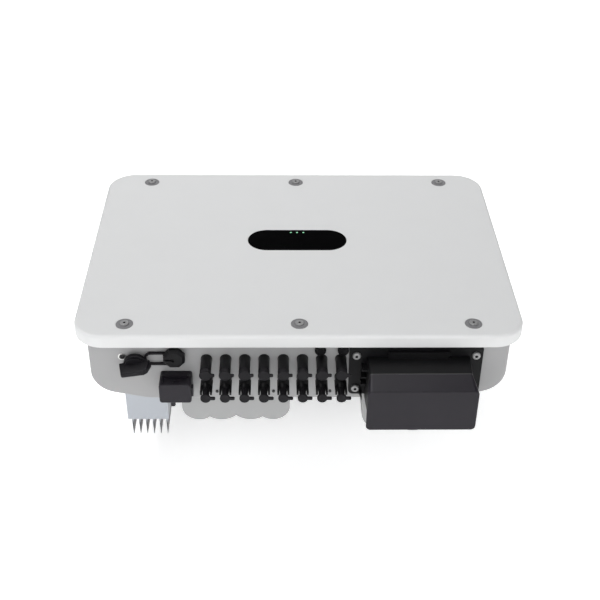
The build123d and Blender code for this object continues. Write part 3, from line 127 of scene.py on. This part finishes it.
def backdrop_material():
    material, nodes, links, shader = new_material("studio_backdrop")
    shader.inputs["Base Color"].default_value = (BACKDROP_GREY, BACKDROP_GREY, BACKDROP_GREY, 1)
    shader.inputs["Roughness"].default_value = 0.95
    shader.inputs["Specular IOR Level"].default_value = 0.1
    shader.inputs["Emission Color"].default_value = (1, 1, 1, 1)
    shader.inputs["Emission Strength"].default_value = BACKDROP_GLOW
    clear = nodes.new("ShaderNodeBsdfTransparent")
    mix = nodes.new("ShaderNodeMixShader")
    side = nodes.new("ShaderNodeNewGeometry")
    links.new(side.outputs["Backfacing"], mix.inputs["Fac"])
    links.new(shader.outputs["BSDF"], mix.inputs[1])
    links.new(clear.outputs["BSDF"], mix.inputs[2])
    links.new(mix.outputs["Shader"], nodes["Material Output"].inputs["Surface"])
    return material


def studio_plane(name, corners, material):
    mesh = bpy.data.meshes.new(name)
    mesh.from_pydata(corners, [], [(0, 1, 2, 3)])
    mesh.materials.append(material)
    plane = bpy.data.objects.new(name, mesh)
    bpy.context.scene.collection.objects.link(plane)
    return plane


def area_light(name, at, target, size, power):
    data = bpy.data.lights.new(name, "AREA")
    data.shape, data.size, data.size_y = "RECTANGLE", size[0], size[1]
    data.energy = power
    light = bpy.data.objects.new(name, data)
    light.location = at
    light.rotation_mode = "QUATERNION"
    light.rotation_quaternion = (Vector(target) - Vector(at)).to_track_quat("-Z", "Y")
    bpy.context.scene.collection.objects.link(light)
    return light


def make_studio():
    grey = backdrop_material()
    s, y, z = STUDIO_HALF, WALL_GAP, FLOOR_Z
    studio_plane("studio_wall", [(-s, y, z), (s, y, z), (s, y, s), (-s, y, s)], grey)
    studio_plane("studio_floor", [(-s, -s, z), (s, -s, z), (s, y, z), (-s, y, z)], grey)
    for name, values in AREA_LIGHTS.items():
        area_light(name, **values)
    world = bpy.data.worlds.new("studio_air")
    world.use_nodes = True
    air = world.node_tree.nodes["Background"]
    air.inputs["Color"].default_value = WORLD_COLOUR
    air.inputs["Strength"].default_value = WORLD_STRENGTH
    bpy.context.scene.world = world
    bpy.context.scene.view_settings.view_transform = "Standard"


make_studio()

# %% [markdown]
# ## Shared effects
# Four effects turn up in nearly every finish: a fine grain, worn edges, settled dust and a
# drawn or brushed direction. A fifth is painted shade: it darkens the gaps between deep fins,
# where shade falls. Each is a node group, built once, with named inputs. A group only puts out
# masks and values; the shader stays in the material, where an exporter can read it.

# %% Group helper
def start_group(name, inputs, outputs):
    """A shader node group with float or colour sockets, given as {name: default}."""
    group = bpy.data.node_groups.new(name, "ShaderNodeTree")
    for label, default in inputs.items():
        kind = "NodeSocketFloat" if isinstance(default, float) else "NodeSocketColor"
        socket = group.interface.new_socket(label, in_out="INPUT", socket_type=kind)
        socket.default_value = default
    for label, kind in outputs.items():
        group.interface.new_socket(label, in_out="OUTPUT", socket_type=kind)
    return group, group.nodes.new("NodeGroupInput"), group.nodes.new("NodeGroupOutput")


def math_node(nodes, links, operation, first, second, clamp=False):
    """A Math node; each input is a socket or a plain number."""
    node = nodes.new("ShaderNodeMath")
    node.operation, node.use_clamp = operation, clamp
    for slot, value in zip(node.inputs, (first, second)):
        if isinstance(value, (int, float)):
            slot.default_value = value
        else:
            links.new(value, slot)
    return node.outputs["Value"]


# %% Grain: the fine skin of powder coat, moulded plastic or rubber
def build_grain_group():
    group, given, result = start_group(
        "fine_grain",
        {"Size mm": 0.5, "Blotch mm": 40.0},
        {"Height": "NodeSocketFloat", "Shade": "NodeSocketFloat"},
    )
    nodes, links = group.nodes, group.links
    place = nodes.new("ShaderNodeTexCoord")
    fine = nodes.new("ShaderNodeTexNoise")
    links.new(place.outputs["Object"], fine.inputs["Vector"])
    links.new(math_node(nodes, links, "DIVIDE", 1000.0, given.outputs["Size mm"]), fine.inputs["Scale"])
    fine.inputs["Detail"].default_value = 3
    blotch = nodes.new("ShaderNodeTexNoise")
    links.new(place.outputs["Object"], blotch.inputs["Vector"])
    links.new(math_node(nodes, links, "DIVIDE", 1000.0, given.outputs["Blotch mm"]), blotch.inputs["Scale"])
    links.new(fine.outputs["Fac"], result.inputs["Height"])
    links.new(blotch.outputs["Fac"], result.inputs["Shade"])


build_grain_group()


# %% Edge wear: where the rounded normal leaves the true one, the edge is rubbed
EDGE_SHARPEN = 6.0
WEAR_BREAKS = 220


def build_wear_group():
    group, given, result = start_group(
        "edge_wear",
        {"Radius mm": 0.8, "Amount": 0.5},
        {"Mask": "NodeSocketFloat"},
    )
    nodes, links = group.nodes, group.links
    rounded = nodes.new("ShaderNodeBevel")
    rounded.samples = 3
    links.new(math_node(nodes, links, "DIVIDE", given.outputs["Radius mm"], 1000.0), rounded.inputs["Radius"])
    true = nodes.new("ShaderNodeNewGeometry")
    dot = nodes.new("ShaderNodeVectorMath")
    dot.operation = "DOT_PRODUCT"
    links.new(rounded.outputs["Normal"], dot.inputs[0])
    links.new(true.outputs["Normal"], dot.inputs[1])
    edge = math_node(nodes, links, "SUBTRACT", 1.0, dot.outputs["Value"])
    edge = math_node(nodes, links, "MULTIPLY", edge, EDGE_SHARPEN, clamp=True)
    place = nodes.new("ShaderNodeTexCoord")
    broken = nodes.new("ShaderNodeTexNoise")
    broken.inputs["Scale"].default_value = WEAR_BREAKS
    links.new(place.outputs["Object"], broken.inputs["Vector"])
    rough = math_node(nodes, links, "MULTIPLY", broken.outputs["Fac"], edge)
    links.new(math_node(nodes, links, "MULTIPLY", rough, given.outputs["Amount"]), result.inputs["Mask"])


build_wear_group()


# %% Dust: settles on faces that look up, in uneven patches
DUST_PATCHES = 35


def build_dust_group():
    group, given, result = start_group("settled_dust", {"Amount": 0.3}, {"Mask": "NodeSocketFloat"})
    nodes, links = group.nodes, group.links
    face = nodes.new("ShaderNodeNewGeometry")
    split = nodes.new("ShaderNodeSeparateXYZ")
    links.new(face.outputs["Normal"], split.inputs["Vector"])
    upward = math_node(nodes, links, "MAXIMUM", split.outputs["Z"], 0.0)
    place = nodes.new("ShaderNodeTexCoord")
    patch = nodes.new("ShaderNodeTexNoise")
    patch.inputs["Scale"].default_value = DUST_PATCHES
    patch.inputs["Detail"].default_value = 5
    links.new(place.outputs["Object"], patch.inputs["Vector"])
    patchy = math_node(nodes, links, "MULTIPLY", upward, patch.outputs["Fac"])
    links.new(math_node(nodes, links, "MULTIPLY", patchy, given.outputs["Amount"]), result.inputs["Mask"])


build_dust_group()


# %% Drawn lines: the marks that an extrusion die or a brush leaves along one direction
def build_drawn_group():
    group, given, result = start_group(
        "drawn_lines",
        {"Across mm": 0.3, "Along mm": 60.0},
        {"Height": "NodeSocketFloat", "Shade": "NodeSocketFloat"},
    )
    nodes, links = group.nodes, group.links
    place = nodes.new("ShaderNodeTexCoord")
    split = nodes.new("ShaderNodeSeparateXYZ")
    links.new(place.outputs["Object"], split.inputs["Vector"])
    fine = math_node(nodes, links, "DIVIDE", 1000.0, given.outputs["Across mm"])
    long = math_node(nodes, links, "DIVIDE", 1000.0, given.outputs["Along mm"])
    merge = nodes.new("ShaderNodeCombineXYZ")
    links.new(math_node(nodes, links, "MULTIPLY", split.outputs["X"], fine), merge.inputs["X"])
    links.new(math_node(nodes, links, "MULTIPLY", split.outputs["Y"], fine), merge.inputs["Y"])
    links.new(math_node(nodes, links, "MULTIPLY", split.outputs["Z"], long), merge.inputs["Z"])
    lines = nodes.new("ShaderNodeTexNoise")
    lines.inputs["Scale"].default_value = 1
    lines.inputs["Detail"].default_value = 2
    links.new(merge.outputs["Vector"], lines.inputs["Vector"])
    links.new(lines.outputs["Fac"], result.inputs["Height"])
    links.new(lines.outputs["Fac"], result.inputs["Shade"])


build_drawn_group()


# %% Painted depth shade: a surface painted darker from one depth behind the front to another, for the shade between fins
def build_depth_group():
    group, given, result = start_group(
        "painted_depth_shade", {"Start m": 0.0, "Run m": 0.01, "Amount": 0.85}, {"Mask": "NodeSocketFloat"}
    )
    nodes, links = group.nodes, group.links
    place = nodes.new("ShaderNodeTexCoord")
    split = nodes.new("ShaderNodeSeparateXYZ")
    links.new(place.outputs["Object"], split.inputs["Vector"])
    past = math_node(nodes, links, "SUBTRACT", split.outputs["Y"], given.outputs["Start m"])
    share = math_node(nodes, links, "DIVIDE", past, given.outputs["Run m"], clamp=True)
    links.new(math_node(nodes, links, "MULTIPLY", share, given.outputs["Amount"]), result.inputs["Mask"])


build_depth_group()
print("shared effects:", [g.name for g in bpy.data.node_groups])

# %% [markdown]
# ## Finishes
# Most finishes differ only in colour, gloss, grain and wear, so one function builds them all
# from those values: the grain shifts the colour and the bump, the worn edges change colour
# and roughness, and dust lies on top. Metals use drawn lines in place of grain.

# %% One function for every grained or drawn finish
def blend_colour(nodes, links, mask, under, over):
    mix = nodes.new("ShaderNodeMix")
    mix.data_type = "RGBA"
    links.new(mask, mix.inputs["Factor"])
    for slot, value in ((mix.inputs["A"], under), (mix.inputs["B"], over)):
        if isinstance(value, tuple):
            slot.default_value = (*value, 1)
        else:
            links.new(value, slot)
    return mix.outputs["Result"]


def map_range(nodes, links, value, low, high):
    """Spreads a 0 to 1 value over the range low to high."""
    node = nodes.new("ShaderNodeMapRange")
    links.new(value, node.inputs["Value"])
    node.inputs["To Min"].default_value, node.inputs["To Max"].default_value = low, high
    return node.outputs["Result"]


GLOSS_SPREAD = 0.05
# Painted shade between fins: how far it takes to come on, and its colour.
PAINTED_SHADE_RUN = 8 * MM
PAINTED_SHADE_COLOUR = (0.05, 0.05, 0.053)
DUST_COLOUR = (0.62, 0.6, 0.56)


def finish_surface(name, colour, roughness, metallic=0.0, grain_mm=0.5, bump_mm=0.01,
                   mottle=0.06, wear=None, wear_amount=0.0, dust=0.0, drawn=False, coat=0.0,
                   specular=0.5, painted_shade_from=None):
    """A finish: a base colour and gloss with grain or drawn lines, worn edges, painted shade between fins,
    and dust.
    """
    material, nodes, links, shader = new_material(name)
    if drawn:
        skin = place_group(nodes, "drawn_lines", Across_mm=grain_mm)
    else:
        skin = place_group(nodes, "fine_grain", Size_mm=grain_mm)
    dark = tuple(c * (1 - mottle) for c in colour)
    light = tuple(min(1, c * (1 + mottle)) for c in colour)
    tone = blend_colour(nodes, links, skin.outputs["Shade"], dark, light)
    if wear:
        worn = place_group(nodes, "edge_wear", Amount=wear_amount)
        tone = blend_colour(nodes, links, worn.outputs["Mask"], tone, wear)
    # Painted shade: darker from a given depth backwards, standing in for the shade between fins.
    if painted_shade_from is not None:
        dull = place_group(nodes, "painted_depth_shade", Start_m=painted_shade_from, Run_m=PAINTED_SHADE_RUN)
        tone = blend_colour(nodes, links, dull.outputs["Mask"], tone, PAINTED_SHADE_COLOUR)
    if dust:
        film = place_group(nodes, "settled_dust", Amount=dust)
        tone = blend_colour(nodes, links, film.outputs["Mask"], tone, DUST_COLOUR)
    links.new(tone, shader.inputs["Base Color"])
    low, high = roughness - GLOSS_SPREAD, roughness + GLOSS_SPREAD
    gloss = map_range(nodes, links, skin.outputs["Height"], low, high)
    links.new(gloss, shader.inputs["Roughness"])
    bump = nodes.new("ShaderNodeBump")
    bump.inputs["Distance"].default_value = bump_mm * MM
    bump.inputs["Strength"].default_value = 1.0
    links.new(skin.outputs["Height"], bump.inputs["Height"])
    links.new(bump.outputs["Normal"], shader.inputs["Normal"])
    shader.inputs["Metallic"].default_value = metallic
    shader.inputs["Specular IOR Level"].default_value = specular
    shader.inputs["Coat Weight"].default_value = coat
    shader.inputs["Coat Roughness"].default_value = 0.25
    return material


# %% Painted metal: the cover, the casing and the castings
FINISH = {
    "cover": finish_surface("cover_powder_coat", (0.63, 0.635, 0.635), 0.46, grain_mm=0.7, bump_mm=0.012,
                            mottle=0.012, wear=(0.86, 0.86, 0.86), wear_amount=0.35, dust=0.1),
    "casing": finish_surface("casing_powder_coat", (0.31, 0.31, 0.312), 0.5, grain_mm=0.8, bump_mm=0.015,
                             mottle=0.02, wear=(0.6, 0.6, 0.6), wear_amount=0.5, dust=0.15),
    "casting": finish_surface("painted_casting", (0.32, 0.323, 0.323), 0.55, grain_mm=1.6, bump_mm=0.05,
                              mottle=0.03, wear=(0.6, 0.6, 0.61), wear_amount=0.5, dust=0.2),
}

# %% Bare metal: extrusion, zinc plate, stainless steel, blackened steel, brass
FINISH["extrusion"] = finish_surface(
    "bare_extrusion", (0.39, 0.41, 0.44), 0.38, metallic=0.8, grain_mm=0.5, bump_mm=0.02,
    mottle=0.08, dust=0.1, drawn=True)
# The side heat sink's fins take painted shade: darker from the fins' root backwards, where shade falls
# between them.
SIDE_FIN_DEPTH = 29 * MM
SIDE_FIN_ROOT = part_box("side_heat_sink")[1][1] - SIDE_FIN_DEPTH
FINISH["finned"] = finish_surface(
    "bare_extrusion_painted_fin_shade", (0.39, 0.41, 0.44), 0.42, metallic=0.8, grain_mm=0.5, bump_mm=0.02,
    mottle=0.08, dust=0.1, drawn=True, painted_shade_from=SIDE_FIN_ROOT)
FINISH["zinc"] = finish_surface(
    "zinc_plate", (0.62, 0.63, 0.64), 0.36, metallic=0.95, grain_mm=3.0, bump_mm=0.01,
    mottle=0.12, wear=(0.8, 0.8, 0.8), wear_amount=0.6, dust=0.1)
FINISH["stainless"] = finish_surface(
    "stainless_steel", (0.68, 0.68, 0.67), 0.28, metallic=1.0, grain_mm=0.25, bump_mm=0.006,
    mottle=0.08, drawn=True)
FINISH["pan_screw"] = finish_surface(
    "dull_pan_screw", (0.3, 0.3, 0.3), 0.5, metallic=0.7, grain_mm=0.25, bump_mm=0.006,
    mottle=0.12, drawn=True)
FINISH["dark_screw"] = finish_surface(
    "blackened_steel", (0.03, 0.03, 0.032), 0.4, metallic=0.6, grain_mm=0.3, mottle=0.1,
    wear=(0.2, 0.2, 0.2), wear_amount=0.4)
FINISH["brass"] = finish_surface(
    "plated_brass", (0.75, 0.6, 0.3), 0.3, metallic=1.0, grain_mm=0.3, bump_mm=0.005,
    mottle=0.08, drawn=True)

# %% Black mouldings and rubber
FINISH["plastic"] = finish_surface(
    "black_moulding", (0.009, 0.0073, 0.0115), 0.42, grain_mm=0.35, bump_mm=0.012, mottle=0.12,
    wear=(0.05, 0.048, 0.055), wear_amount=0.5, dust=0.04, specular=0.27)
FINISH["smooth_plastic"] = finish_surface(
    "black_nylon", (0.004, 0.004, 0.0046), 0.34, grain_mm=0.6, bump_mm=0.006, mottle=0.15,
    wear=(0.045, 0.045, 0.05), wear_amount=0.5, dust=0.02, specular=0.22)
FINISH["grip_plastic"] = finish_surface(
    "black_knob_moulding", (0.0055, 0.005, 0.0068), 0.42, grain_mm=0.35, bump_mm=0.012, mottle=0.12,
    wear=(0.045, 0.044, 0.05), wear_amount=0.5, dust=0.04, specular=0.17)
# A darker copy of the black moulding: painted shade for the recessed collar of the connection box; the port
# cap and the vent valves take it too.
FINISH["shaded_black_plastic"] = finish_surface(
    "black_moulding_painted_shade", (0.0038, 0.0038, 0.0044), 0.5, grain_mm=0.4, bump_mm=0.015, mottle=0.12,
    wear=(0.04, 0.04, 0.045), wear_amount=0.5, dust=0.03, specular=0.17)
FINISH["rubber"] = finish_surface(
    "dust_plug_rubber", (0.0056, 0.0051, 0.0066), 0.52, grain_mm=0.4, bump_mm=0.01, mottle=0.1,
    wear=(0.05, 0.048, 0.055), wear_amount=0.5, dust=0.05, specular=0.17)
FINISH["seal"] = finish_surface(
    "foamed_seal", (0.06, 0.06, 0.06), 0.8, grain_mm=0.5, bump_mm=0.08, mottle=0.2)
FINISH["washer"] = finish_surface(
    "grey_washer", (0.17, 0.17, 0.175), 0.5, grain_mm=0.4, bump_mm=0.01, mottle=0.06,
    wear=(0.34, 0.34, 0.34), wear_amount=0.5)

# %% Pieces inside: terminals, cores, cans, modules, boards
FINISH["terminal"] = finish_surface(
    "terminal_grey", (0.25, 0.27, 0.28), 0.5, grain_mm=0.4, bump_mm=0.01, mottle=0.05,
    wear=(0.4, 0.42, 0.43), wear_amount=0.4)
FINISH["core"] = finish_surface(
    "potted_core", (0.06, 0.06, 0.065), 0.6, grain_mm=1.0, bump_mm=0.05, mottle=0.2)
FINISH["can"] = finish_surface(
    "can_sleeve", (0.02, 0.03, 0.07), 0.3, grain_mm=0.8, bump_mm=0.01, mottle=0.1)
FINISH["module"] = finish_surface(
    "module_moulding", (0.05, 0.05, 0.055), 0.5, grain_mm=0.4, mottle=0.1)
FINISH["board"] = finish_surface(
    "solder_mask", (0.015, 0.13, 0.05), 0.32, grain_mm=0.9, bump_mm=0.02, mottle=0.25, coat=0.3)
print("finishes:", len(FINISH))

# %% [markdown]
# ## The window and its lights
# The window is a smooth black pane with a faint ripple. It is given very little specular
# level, so it stays black under the studio's lights. The light guides glow faintly.

# %% Window and light guides
def window_material():
    material, nodes, links, shader = new_material("black_pane")
    shader.inputs["Base Color"].default_value = (0.001, 0.001, 0.0012, 1)
    skin = place_group(nodes, "fine_grain", Size_mm=18.0)
    links.new(map_range(nodes, links, skin.outputs["Height"], 0.1, 0.18), shader.inputs["Roughness"])
    shader.inputs["Specular IOR Level"].default_value = 0.02
    return material


def guide_material():
    material, nodes, links, shader = new_material("lit_light_guide")
    shader.inputs["Base Color"].default_value = (0.2, 0.5, 0.3, 1)
    shader.inputs["Roughness"].default_value = 0.3
    skin = place_group(nodes, "fine_grain", Size_mm=1.2)
    glow = blend_colour(nodes, links, skin.outputs["Height"], (0.15, 0.55, 0.3), (0.3, 0.8, 0.45))
    links.new(glow, shader.inputs["Emission Color"])
    shader.inputs["Emission Strength"].default_value = 0.35
    return material


FINISH["pane"] = window_material()
FINISH["guide"] = guide_material()

# %% Which piece takes which finish
WEARS = {
    "cover": ["front_cover"],
    "casing": ["rear_casing"],
    "casting": ["dc_inductor_housing", "ac_inductor_housing"],
    "extrusion": ["heat_sink", "hanging_lugs"],
    "finned": ["side_heat_sink"],
    "zinc": ["wall_bracket"],
    "stainless": ["side_screws"],
    "pan_screw": ["cover_screws", "ac_flange_screws"],
    "dark_screw": ["signal_plug_screws", "underside_screws"],
    "plastic": ["dc_switch_body", "signal_socket", "signal_plug", "ac_cover", "fan_frame", "fan_rotor"],
    "grip_plastic": ["dc_switch_bezel", "dc_switch_knob"],
    "smooth_plastic": ["dc_sockets_front", "dc_sockets_rear", "dc_socket_nuts", "data_port"],
    "shaded_black_plastic": ["ac_base", "data_port_cap", "vent_valves"],
    "rubber": ["cap_strap", "cable_bushing"] + [n for n in NODES if n.startswith("plug_")],
    "seal": ["cover_gasket", "ac_gasket"],
    "washer": ["cover_washers"],
    "terminal": ["ac_terminals"],
    "brass": ["terminal_screws"],
    "core": ["potted_inductors", "output_filter"],
    "can": ["bus_capacitors"],
    "module": ["power_modules"],
    "board": ["power_board", "control_board", "indicator_board"],
    "pane": ["indicator_window"],
    "guide": ["light_guides"],
}


def dress(node, material):
    """Swaps every material slot of a carried-over piece for its finish."""
    piece = NODES[node]
    if not piece.material_slots:
        piece.data.materials.append(material)
    for slot in piece.material_slots:
        slot.material = material


for finish, names in WEARS.items():
    for name in names:
        dress(name, FINISH[finish])
print("dressed:", sum(len(v) for v in WEARS.values()), "of", len(NODES))

# %% [markdown]
# ## Painted shade in the screw recesses
# Each cover screw and each flange screw has a hexagon recess for a key. A small dark six-sided
# cup in each recess paints the shade that falls inside it. It is turned from a profile: the
# profile's points go round an axis in six steps and the faces join each step to the next, so
# the cup is closed and has a true wall and floor. A boolean cut would give the same shape, but
# the faces would be harder to control.

# %% Turn a profile round an axis
def turned(mesh, profile, sides, place):
    """Adds a closed turned shape: profile is (radius, height) from axis to axis, place a matrix."""
    steps = [2 * math.pi * i / sides for i in range(sides)]
    rings = []
    for radius, height in profile:
        if radius == 0:
            rings.append([mesh.verts.new(place @ Vector((0, 0, height)))] * sides)
            continue
        rings.append([
            mesh.verts.new(place @ Vector((radius * math.cos(a), radius * math.sin(a), height)))
            for a in steps
        ])
    for low, high in zip(rings, rings[1:]):
        for i in range(sides):
            j = (i + 1) % sides
            corners = [low[i], low[j], high[j], high[i]]
            mesh.faces.new(list(dict.fromkeys(corners)))


def finish_piece(name, mesh, material, body):
    """Turns a bmesh into a piece of the object that rides on a body."""
    bmesh.ops.recalc_face_normals(mesh, faces=mesh.faces)
    data = bpy.data.meshes.new(name)
    mesh.to_mesh(data)
    mesh.free()
    data.materials.append(material)
    piece = bpy.data.objects.new(name, data)
    bpy.context.scene.collection.objects.link(piece)
    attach(piece, body)
    return piece


# %% Painted shade cups in the cover screws and the flange screws
KEY_CUP_WALL = 0.25 * MM
KEY_CUP_GAP = 0.03 * MM
KEY_CUP_LIFT = 0.01 * MM
KEY_CUP_LIP = 0.1 * MM
KEY_SIDES = 6
FORWARD = Matrix.Rotation(math.radians(90), 4, "X")
DOWN = Matrix.Rotation(math.radians(180), 4, "X")


def recess_shade_cups(name, spots, radius, depth, turn, body):
    """One dark cup of painted shade for each spot, which is the middle of the recess's floor."""
    outer, inner = radius - KEY_CUP_GAP, radius - KEY_CUP_WALL
    profile = [(0, KEY_CUP_LIFT), (outer, KEY_CUP_LIFT), (outer, depth),
               (inner, depth - KEY_CUP_LIP), (inner, KEY_CUP_WALL), (0, KEY_CUP_WALL)]
    cups = bmesh.new()
    for spot in spots:
        turned(cups, profile, KEY_SIDES, Matrix.Translation(spot) @ turn)
    # The cups take the blackened steel finish: painted shade inside the recesses.
    return finish_piece(name, cups, FINISH["dark_screw"], body)


cover_low, cover_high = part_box("front_cover")
screw_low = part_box("cover_screws")[0]
COVER_SCREW_INSET = (73 * MM, 30 * MM)
COVER_KEY_R, COVER_KEY_DEPTH = 2.0 * MM, 2.2 * MM
cover_spots = [
    Vector((x, screw_low[1] + COVER_KEY_DEPTH, z))
    for x in (cover_low[0] + COVER_SCREW_INSET[0], 0.0, cover_high[0] - COVER_SCREW_INSET[0])
    for z in (cover_low[2] + COVER_SCREW_INSET[1], cover_high[2] - COVER_SCREW_INSET[1])
]
recess_shade_cups("cover_screw_recess_shade", cover_spots, COVER_KEY_R, COVER_KEY_DEPTH, FORWARD, "cover")

flange_low, flange_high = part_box("ac_flange_screws")
FLANGE_HEAD_R = 6.0 * MM
FLANGE_KEY_R, FLANGE_KEY_DEPTH = 2.52 * MM, 2.6 * MM
flange_spots = [
    Vector((x, y, flange_low[2] + FLANGE_KEY_DEPTH))
    for x in (flange_low[0] + FLANGE_HEAD_R, flange_high[0] - FLANGE_HEAD_R)
    for y in (flange_low[1] + FLANGE_HEAD_R, flange_high[1] - FLANGE_HEAD_R)
]
recess_shade_cups("flange_screw_recess_shade", flange_spots, FLANGE_KEY_R, FLANGE_KEY_DEPTH, DOWN, "inverter")
print("recess cups:", len(cover_spots), "+", len(flange_spots))

# %% [markdown]
# ## Ring under the padlock screw
# The screw that holds the switch's padlock plate sits in a small bright ring. It is turned from
# a thin rectangular section that does not reach the axis, so the first and last points of the
# profile are joined as well and the ring has a hole through it.

# %% Bright ring round the lock screw
LOCK_RING_IN, LOCK_RING_OUT, LOCK_RING_T = 3.9 * MM, 5.6 * MM, 0.6 * MM
LOCK_RING_SIDES = 32
MERGE_WITHIN = 1e-7
plate_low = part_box("underside_screws")[0]
LOCK_HEAD_R, LOCK_HEAD_T = 3.8 * MM, 1.6 * MM
lock_x, lock_y = plate_low[0] + LOCK_HEAD_R, plate_low[1] + LOCK_HEAD_R
lock_seat = plate_low[2] + LOCK_HEAD_T


def lock_ring():
    ring = bmesh.new()
    section = [(LOCK_RING_IN, 0), (LOCK_RING_OUT, 0), (LOCK_RING_OUT, LOCK_RING_T),
               (LOCK_RING_IN, LOCK_RING_T), (LOCK_RING_IN, 0)]
    place = Matrix.Translation((lock_x, lock_y, lock_seat)) @ DOWN
    turned(ring, section, LOCK_RING_SIDES, place)
    bmesh.ops.remove_doubles(ring, verts=ring.verts, dist=MERGE_WITHIN)
    return finish_piece("lock_screw_ring", ring, FINISH["stainless"], "inverter")


lock_ring()
print("lock ring at mm:", round(lock_x / MM, 1), round(lock_y / MM, 1), round(lock_seat / MM, 1))

# %% [markdown]
# ## Seam of the connection box
# The collar and the cover of the connection box meet at a seam with a thin rubber edge in it.
# The edge follows the collar's rounded rectangle, so it is a band: the same outline at four
# places round a small section, joined face to face. The collar narrows towards the seam, and
# its true outline there is the cover's own upper edge, which the outline's values give.

# %% Rubber edge at the seam
def rounded_outline(x0, x1, y0, y1, radius, steps=6):
    """Points round a rectangle with rounded corners."""
    points = []
    corners = ((x1, y1, 0), (x0, y1, 90), (x0, y0, 180), (x1, y0, 270))
    for x, y, start in corners:
        cx = x - math.copysign(radius, x - (x0 + x1) / 2)
        cy = y - math.copysign(radius, y - (y0 + y1) / 2)
        for i in range(steps + 1):
            a = math.radians(start + 90 * i / steps)
            points.append((cx + radius * math.cos(a), cy + radius * math.sin(a)))
    return points


def band(mesh, outlines):
    """Joins outlines, each (points, z), into a closed band."""
    rings = [[mesh.verts.new((x, y, z)) for x, y in points] for points, z in outlines]
    count = len(rings[0])
    for low, high in zip(rings, rings[1:] + rings[:1]):
        for i in range(count):
            j = (i + 1) % count
            mesh.faces.new((low[i], low[j], high[j], high[i]))


base_low, base_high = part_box("ac_base")
gasket_low, gasket_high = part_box("ac_gasket")
COLLAR_H = 38 * MM
COLLAR_DRAFT = math.radians(3.5)
SEAM_DRAFT = math.tan(COLLAR_DRAFT) * COLLAR_H
COLLAR_LEFT, COLLAR_RIGHT = 23.8 * MM, 17.0 * MM
COLLAR_FRONT = 18.0 * MM
COLLAR_CORNER = 6.0 * MM
COLLAR_R = COLLAR_CORNER - SEAM_DRAFT
GASKET_INSET = 2 * MM
SEAM_OUT, SEAM_IN, SEAM_H = 0.25 * MM, 0.4 * MM, 0.9 * MM
SEAM_FLARE = 0.05 * MM
flange_left, flange_right = gasket_low[0] - GASKET_INSET, gasket_high[0] + GASKET_INSET
flange_front = gasket_low[1] - GASKET_INSET
collar = (flange_left + COLLAR_LEFT + SEAM_DRAFT, flange_right - COLLAR_RIGHT - SEAM_DRAFT,
          flange_front + COLLAR_FRONT + SEAM_DRAFT, base_high[1] - SEAM_DRAFT)


def collar_outline(grow):
    x0, x1, y0, y1 = collar
    return rounded_outline(x0 - grow, x1 + grow, y0 - grow, y1 + grow, COLLAR_R + grow)


seam = bmesh.new()
band(seam, [
    (collar_outline(SEAM_OUT), base_low[2]),
    (collar_outline(SEAM_OUT + SEAM_FLARE), base_low[2] + SEAM_H),
    (collar_outline(-SEAM_IN), base_low[2] + SEAM_H),
    (collar_outline(-SEAM_IN), base_low[2]),
])
finish_piece("connection_box_seam", seam, FINISH["seal"], "inverter")
print("seam outline mm:", [round(v / MM, 1) for v in collar])
